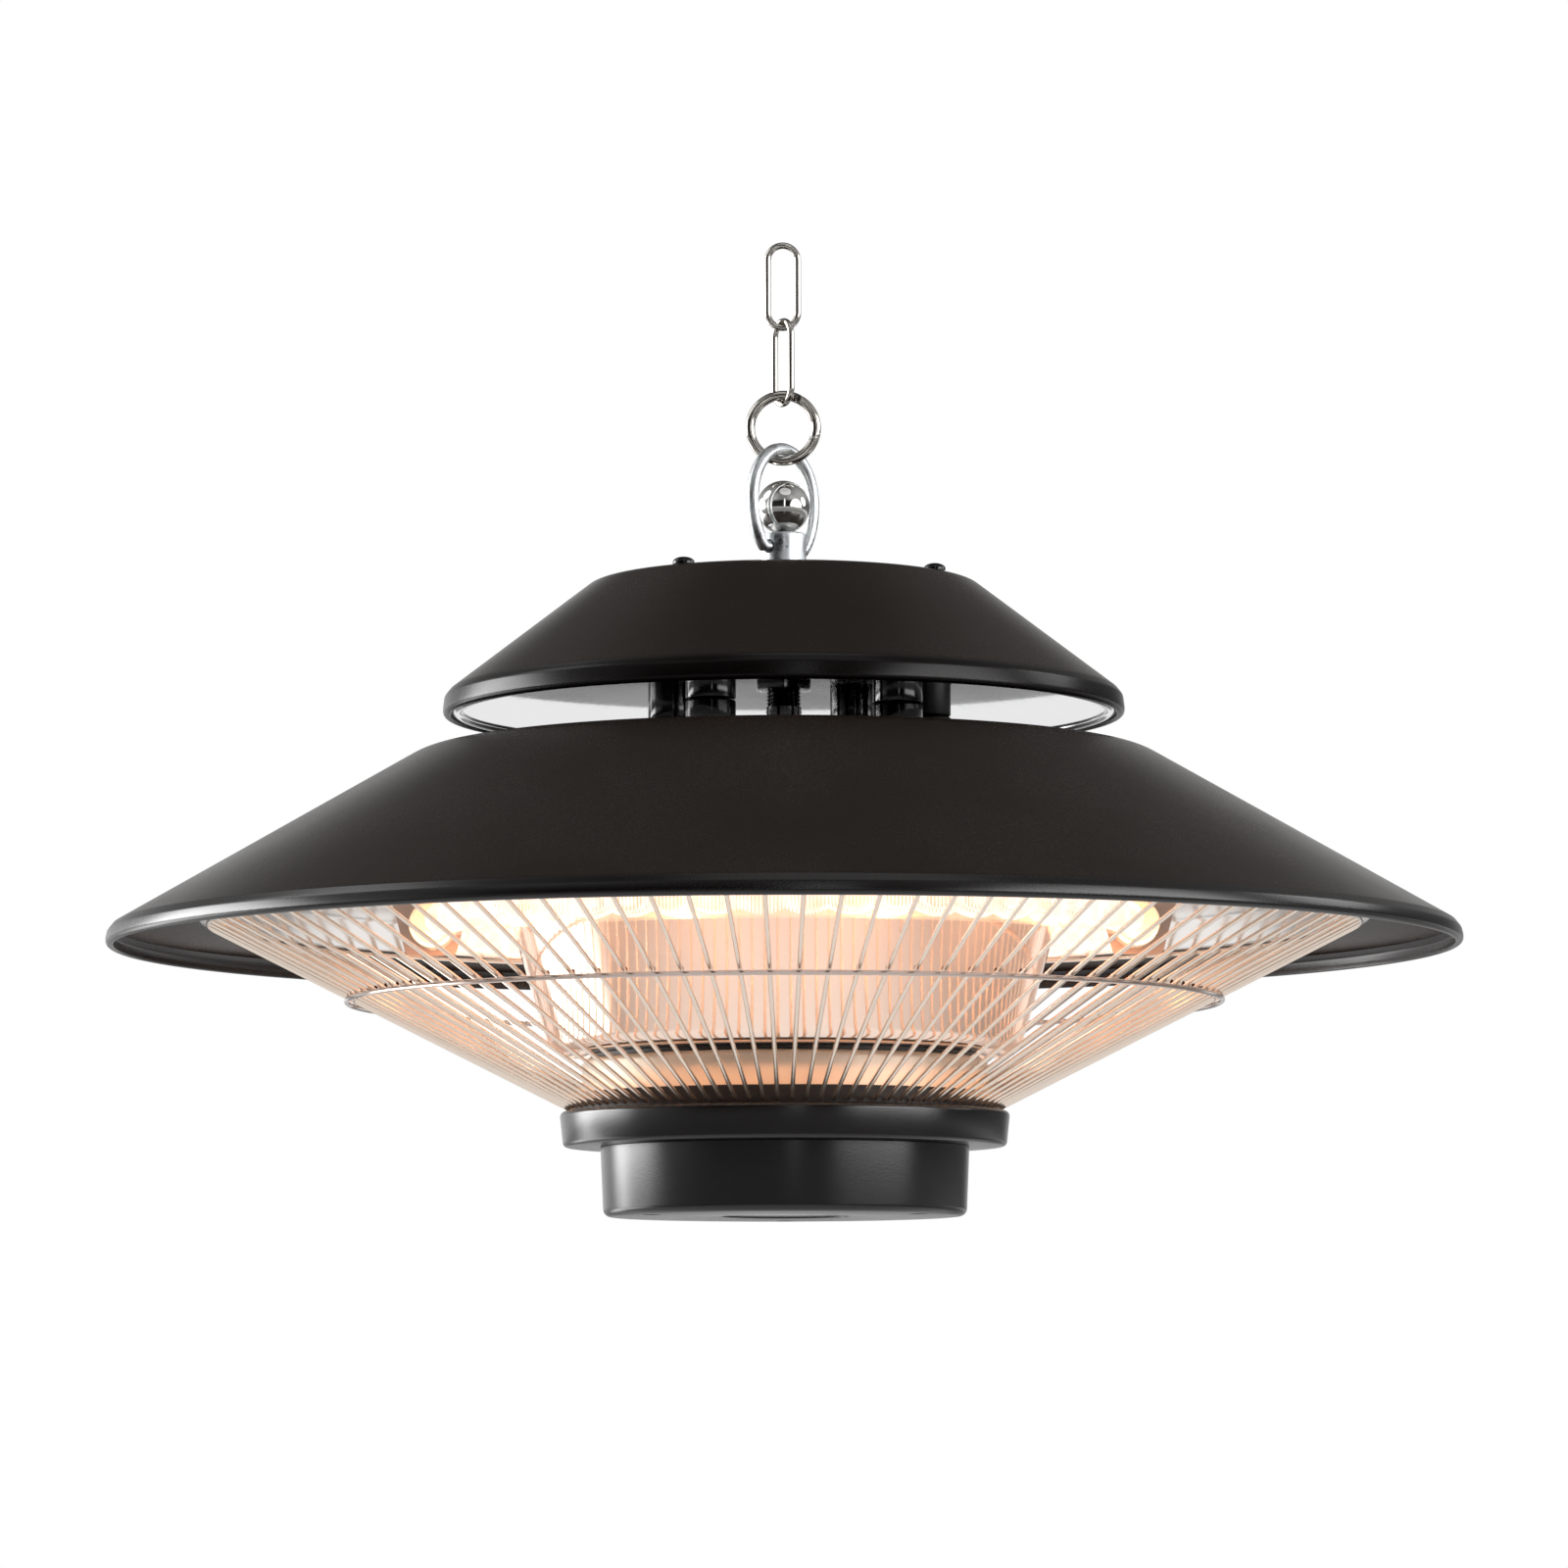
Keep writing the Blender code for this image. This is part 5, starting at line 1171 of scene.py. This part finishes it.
def dress_hoop():
    """The hoop over the wires, and a weld mark where it crosses each wire."""
    height = (low("guard_hoop") + high("guard_hoop")) / 2
    points = [(*polar(reach("guard_hoop") - HOOP_WIRE, turn), height)
              for turn in stepped(0, 2 * math.pi, 192)[:-1]]
    put("hoop_wire", swept_mesh("hoop_wire", points, HOOP_WIRE, 12, closed=True), HOOP_CHROME,
        stands_for=["guard_hoop"])

    shape = bmesh.new()
    bmesh.ops.create_icosphere(shape, subdivisions=1, radius=WELD_RADIUS)
    mark = mesh_of("mark", shape)
    mark.transform(Matrix.Translation((0, 0, height + WELD_RISE)) @ Matrix.Diagonal(WELD_SHAPE))
    base, top, outer = extent("guard_cage")
    share = (height + WELD_LEVEL - base - GUARD_WIRE) / (top - base - 2 * GUARD_WIRE)
    radius = GUARD_FOOT + (outer - GUARD_WIRE - GUARD_FOOT) * share + WELD_OUT
    put("weld_marks", repeated("weld_marks", mark, GUARD_WIRES, 0.0, radius, WELD), WELD)


def dress_collar():
    base, top, outer = extent("guard_collar")
    outline = rounded([(COLLAR_HOLE, top), (outer, top), (outer, base), (COLLAR_HOLE, base)],
                      {1: 0.0006}, 3)
    put_turned("collar_turned", outline, 192, COLLAR_COAT, "guard_collar")


def dress_flange():
    base, top, radius = extent("housing_flange")
    foot, ceiling, floor = radius - FLANGE_LEAN, top - HOUSING_WALL, base + HOUSING_WALL
    outline = rounded([
        (TUBE_HOLE, top), (radius, top), (foot, base), (FLANGE_HOLE, base), (FLANGE_HOLE, floor),
        (foot - HOUSING_WALL, floor), (radius - HOUSING_WALL, ceiling), (TUBE_HOLE, ceiling)],
        {1: 0.0022, 2: 0.0020}, 6)
    put_turned("flange_moulded", outline, 192, BLACK_COAT, "housing_flange")


def dress_cap():
    """The cap, with a stepped hole for the lens and a recess for each screw."""
    base, top, radius = extent("housing_cap")
    foot, floor, seat = radius - CAP_LEAN, base + CAP_FLOOR, base + LENS_SEAT
    ledge = LENS_HOLE - LENS_LEDGE
    cap = turned_mesh("cap_moulded", rounded([
        (radius, top), (foot, base), (LENS_HOLE, base), (LENS_HOLE, seat), (ledge, seat),
        (ledge, floor), (foot - HOUSING_WALL, floor), (radius - HOUSING_WALL, top)],
        {1: 0.0034, 2: 0.0005}, 8), 192)
    recesses = []
    for index in range(3):
        recess = rod("recess", RECESS_RADIUS, base - OVERCUT, base + RECESS_DEPTH, 32)
        turn = QUARTER + index * 2 * math.pi / 3
        recess.transform(Matrix.Translation((*polar(CAP_SCREW_CIRCLE, turn), 0)))
        recesses.append(recess)
    put("cap_moulded", carved(cap, recesses), BLACK_COAT, stands_for=["housing_cap"])


def dress_lens():
    base, top, radius = extent("receiver_lens")
    outline = rounded([(0, top), (radius, top), (radius, base), (0, base)], {2: 0.0005}, 4)
    put_turned("lens_moulded", outline, 96, LENS, "receiver_lens")


# Studio

def lay_floor():
    """A pale floor well below the heater that keeps its shadow and fades to white far out.

    Mirrors see it brighter: near the heater, in a ring far out, and in a patch behind at the left.
    """
    shape = bmesh.new()
    bmesh.ops.create_grid(shape, x_segments=1, y_segments=1, size=FLOOR_REACH)
    mesh = mesh_of("floor", shape)
    mesh.transform(Matrix.Translation((0, 0, FLOOR_HEIGHT)))
    floor = added("floor", mesh)
    made, tree, shader = finish("pale_floor", FLOOR_TONE, 0.85)
    parts = apart(tree, on_piece(tree))
    out = axis_distance(tree, parts)
    far = spread(tree, out, 0.40, 1.0, 0.5, 6.0)
    ring = times(tree, spread(tree, out, 0.0, 0.85, 7.0, 9.0), spread(tree, out, 1.0, 0.0, 13.0, 15.0),
                 spread(tree, parts["Y"], 0.5, 1.0, -1.0, 3.0))
    bright = plus(tree, spread(tree, out, 0.90, 0.04, 1.6, 2.5), ring)
    patch = times(tree, spread(tree, toward(tree, parts, -0.84, 0.54), 0.0, 1.0, 2.0, 2.6), spread(
        tree, calc(tree, "ABSOLUTE", toward(tree, parts, 0.54, 0.84)), 1.0, 0.0, 1.2, 2.0))
    path = node(tree, "ShaderNodeLightPath").outputs
    mirrored = times(tree, path["Is Glossy Ray"], calc(tree, "MAXIMUM", bright, patch))
    share = calc(tree, "MAXIMUM", times(tree, far, path["Is Camera Ray"]), mirrored)
    glow = times(tree, path["Is Glossy Ray"], patch, PATCH_GLOW)
    white = node(tree, "ShaderNodeEmission", {"Strength": plus(tree, glow, 1.0)})
    fade = node(tree, "ShaderNodeMixShader", {0: share, 1: shader.outputs[0], 2: white.outputs[0]})
    behind = node(tree, "ShaderNodeNewGeometry").outputs["Backfacing"]
    clear = node(tree, "ShaderNodeBsdfTransparent")
    both = node(tree, "ShaderNodeMixShader", {0: behind, 1: fade.outputs[0], 2: clear.outputs[0]})
    supply(tree, tree.nodes["Material Output"], {"Surface": both.outputs[0]})
    mesh.materials.append(made)


def light_backdrop():
    """A world that the camera sees white, and that mirrors see with dark sides and soft boxes."""
    world = bpy.data.worlds.new("studio")
    bpy.context.scene.world = world
    world.use_nodes = True
    tree = world.node_tree
    parts = apart(tree, node(tree, "ShaderNodeTexCoord").outputs["Generated"])
    overhead = spread(tree, parts["Z"], 1.0, 0.06, 0.05, 0.50)
    front = spread(tree, parts["Y"], 0.03, 1.0, -0.70, -0.30)
    right = times(tree, spread(tree, parts["X"], 0.0, 0.85, 0.10, 0.45),
                  spread(tree, parts["Z"], 1.0, 0.0, 0.15, 0.50))
    backdrop = times(tree, overhead, front, calc(tree, "SUBTRACT", 1.0, right))
    canopy = times(tree, spread(tree, parts["Y"], 0.25, 0.0, -0.60, -0.35),
                   spread(tree, parts["Z"], 0.0, 1.0, 0.35, 0.50))
    beside = times(tree, spread(tree, calc(tree, "ABSOLUTE", parts["X"]), 0.0, 0.45, 0.20, 0.75),
                   spread(tree, parts["Z"], 0.0, 1.0, 0.30, 0.50))
    off_strip = calc(tree, "ABSOLUTE", calc(tree, "SUBTRACT", parts["X"], STRIP_X))
    strip = times(tree, spread(tree, off_strip, STRIP_STRENGTH, 0.0, 0.020, 0.045),
                  spread(tree, parts["Y"], 1.0, 0.0, -0.50, -0.20),
                  spread(tree, parts["Z"], 1.0, 0.0, 0.35, 0.55))
    boxes = [spread(tree, toward(tree, parts, x, y), 0.0, strength, edge, core)
             for x, y, strength, edge, core in SOFT_BOXES]
    reflected = plus(tree, backdrop, *boxes, canopy, beside, strip)
    path = node(tree, "ShaderNodeLightPath").outputs
    mirrored = calc(tree, "MAXIMUM", path["Is Glossy Ray"], path["Is Transmission Ray"])
    soft = spread(tree, parts["Y"], 0.03, 0.50, -0.50, 0.20)
    seen = plus(tree, times(tree, mirrored, reflected),
                times(tree, calc(tree, "SUBTRACT", 1.0, mirrored), soft))
    strength = calc(tree, "MAXIMUM", path["Is Camera Ray"], seen)
    supply(tree, tree.nodes["Background"], {"Strength": strength, "Color": (1, 1, 1, 1)})


def light_studio():
    """Large soft lamps round the heater."""
    for name, place, aim, width, watts in STUDIO_LAMPS:
        lamp = bpy.data.lights.new(name, "AREA")
        lamp.shape = "DISK"
        lamp.size = width
        lamp.energy = watts
        obj = added(name, lamp)
        obj.location = place
        obj.rotation_euler = (Vector(aim) - Vector(place)).to_track_quat("-Z", "Y").to_euler()


def light_coils():
    """Small warm lamps along the coils, which swing with the heater."""
    height = low("lamp_tube_front") - GLOW_DROP
    for index in range(GLOW_COUNT):
        turn = 2 * math.pi * (index + 0.5) / GLOW_COUNT
        lamp = bpy.data.lights.new("glow", "POINT")
        lamp.color = GLOW_COLOUR
        lamp.shadow_soft_size = GLOW_SIZE
        lamp.energy = GLOW_WATTS
        obj = added("glow", lamp)
        obj.location = (*polar(LAMP_CIRCLE, turn), height)
        obj.parent = bpy.data.objects["coil_front"]
        obj.visible_camera = False
        obj.visible_glossy = False


# The heater, from the chain down

aim_camera()
dress_nodes()
dress_links()
dress_ring()
dress_bail()
dress_stem()
dress_ball()
dress_tube()
dress_shade_nut()
dress_posts()
dress_sleeve()
dress_screws()
dress_gland()
dress_shades()
dress_pan()
dress_plate()
dress_lamps()
dress_lamp_caps()
dress_column()
dress_guard()
dress_hoop()
dress_collar()
dress_flange()
dress_cap()
dress_lens()
lay_floor()
light_backdrop()
light_studio()
light_coils()
bpy.context.scene.view_settings.view_transform = "Standard"
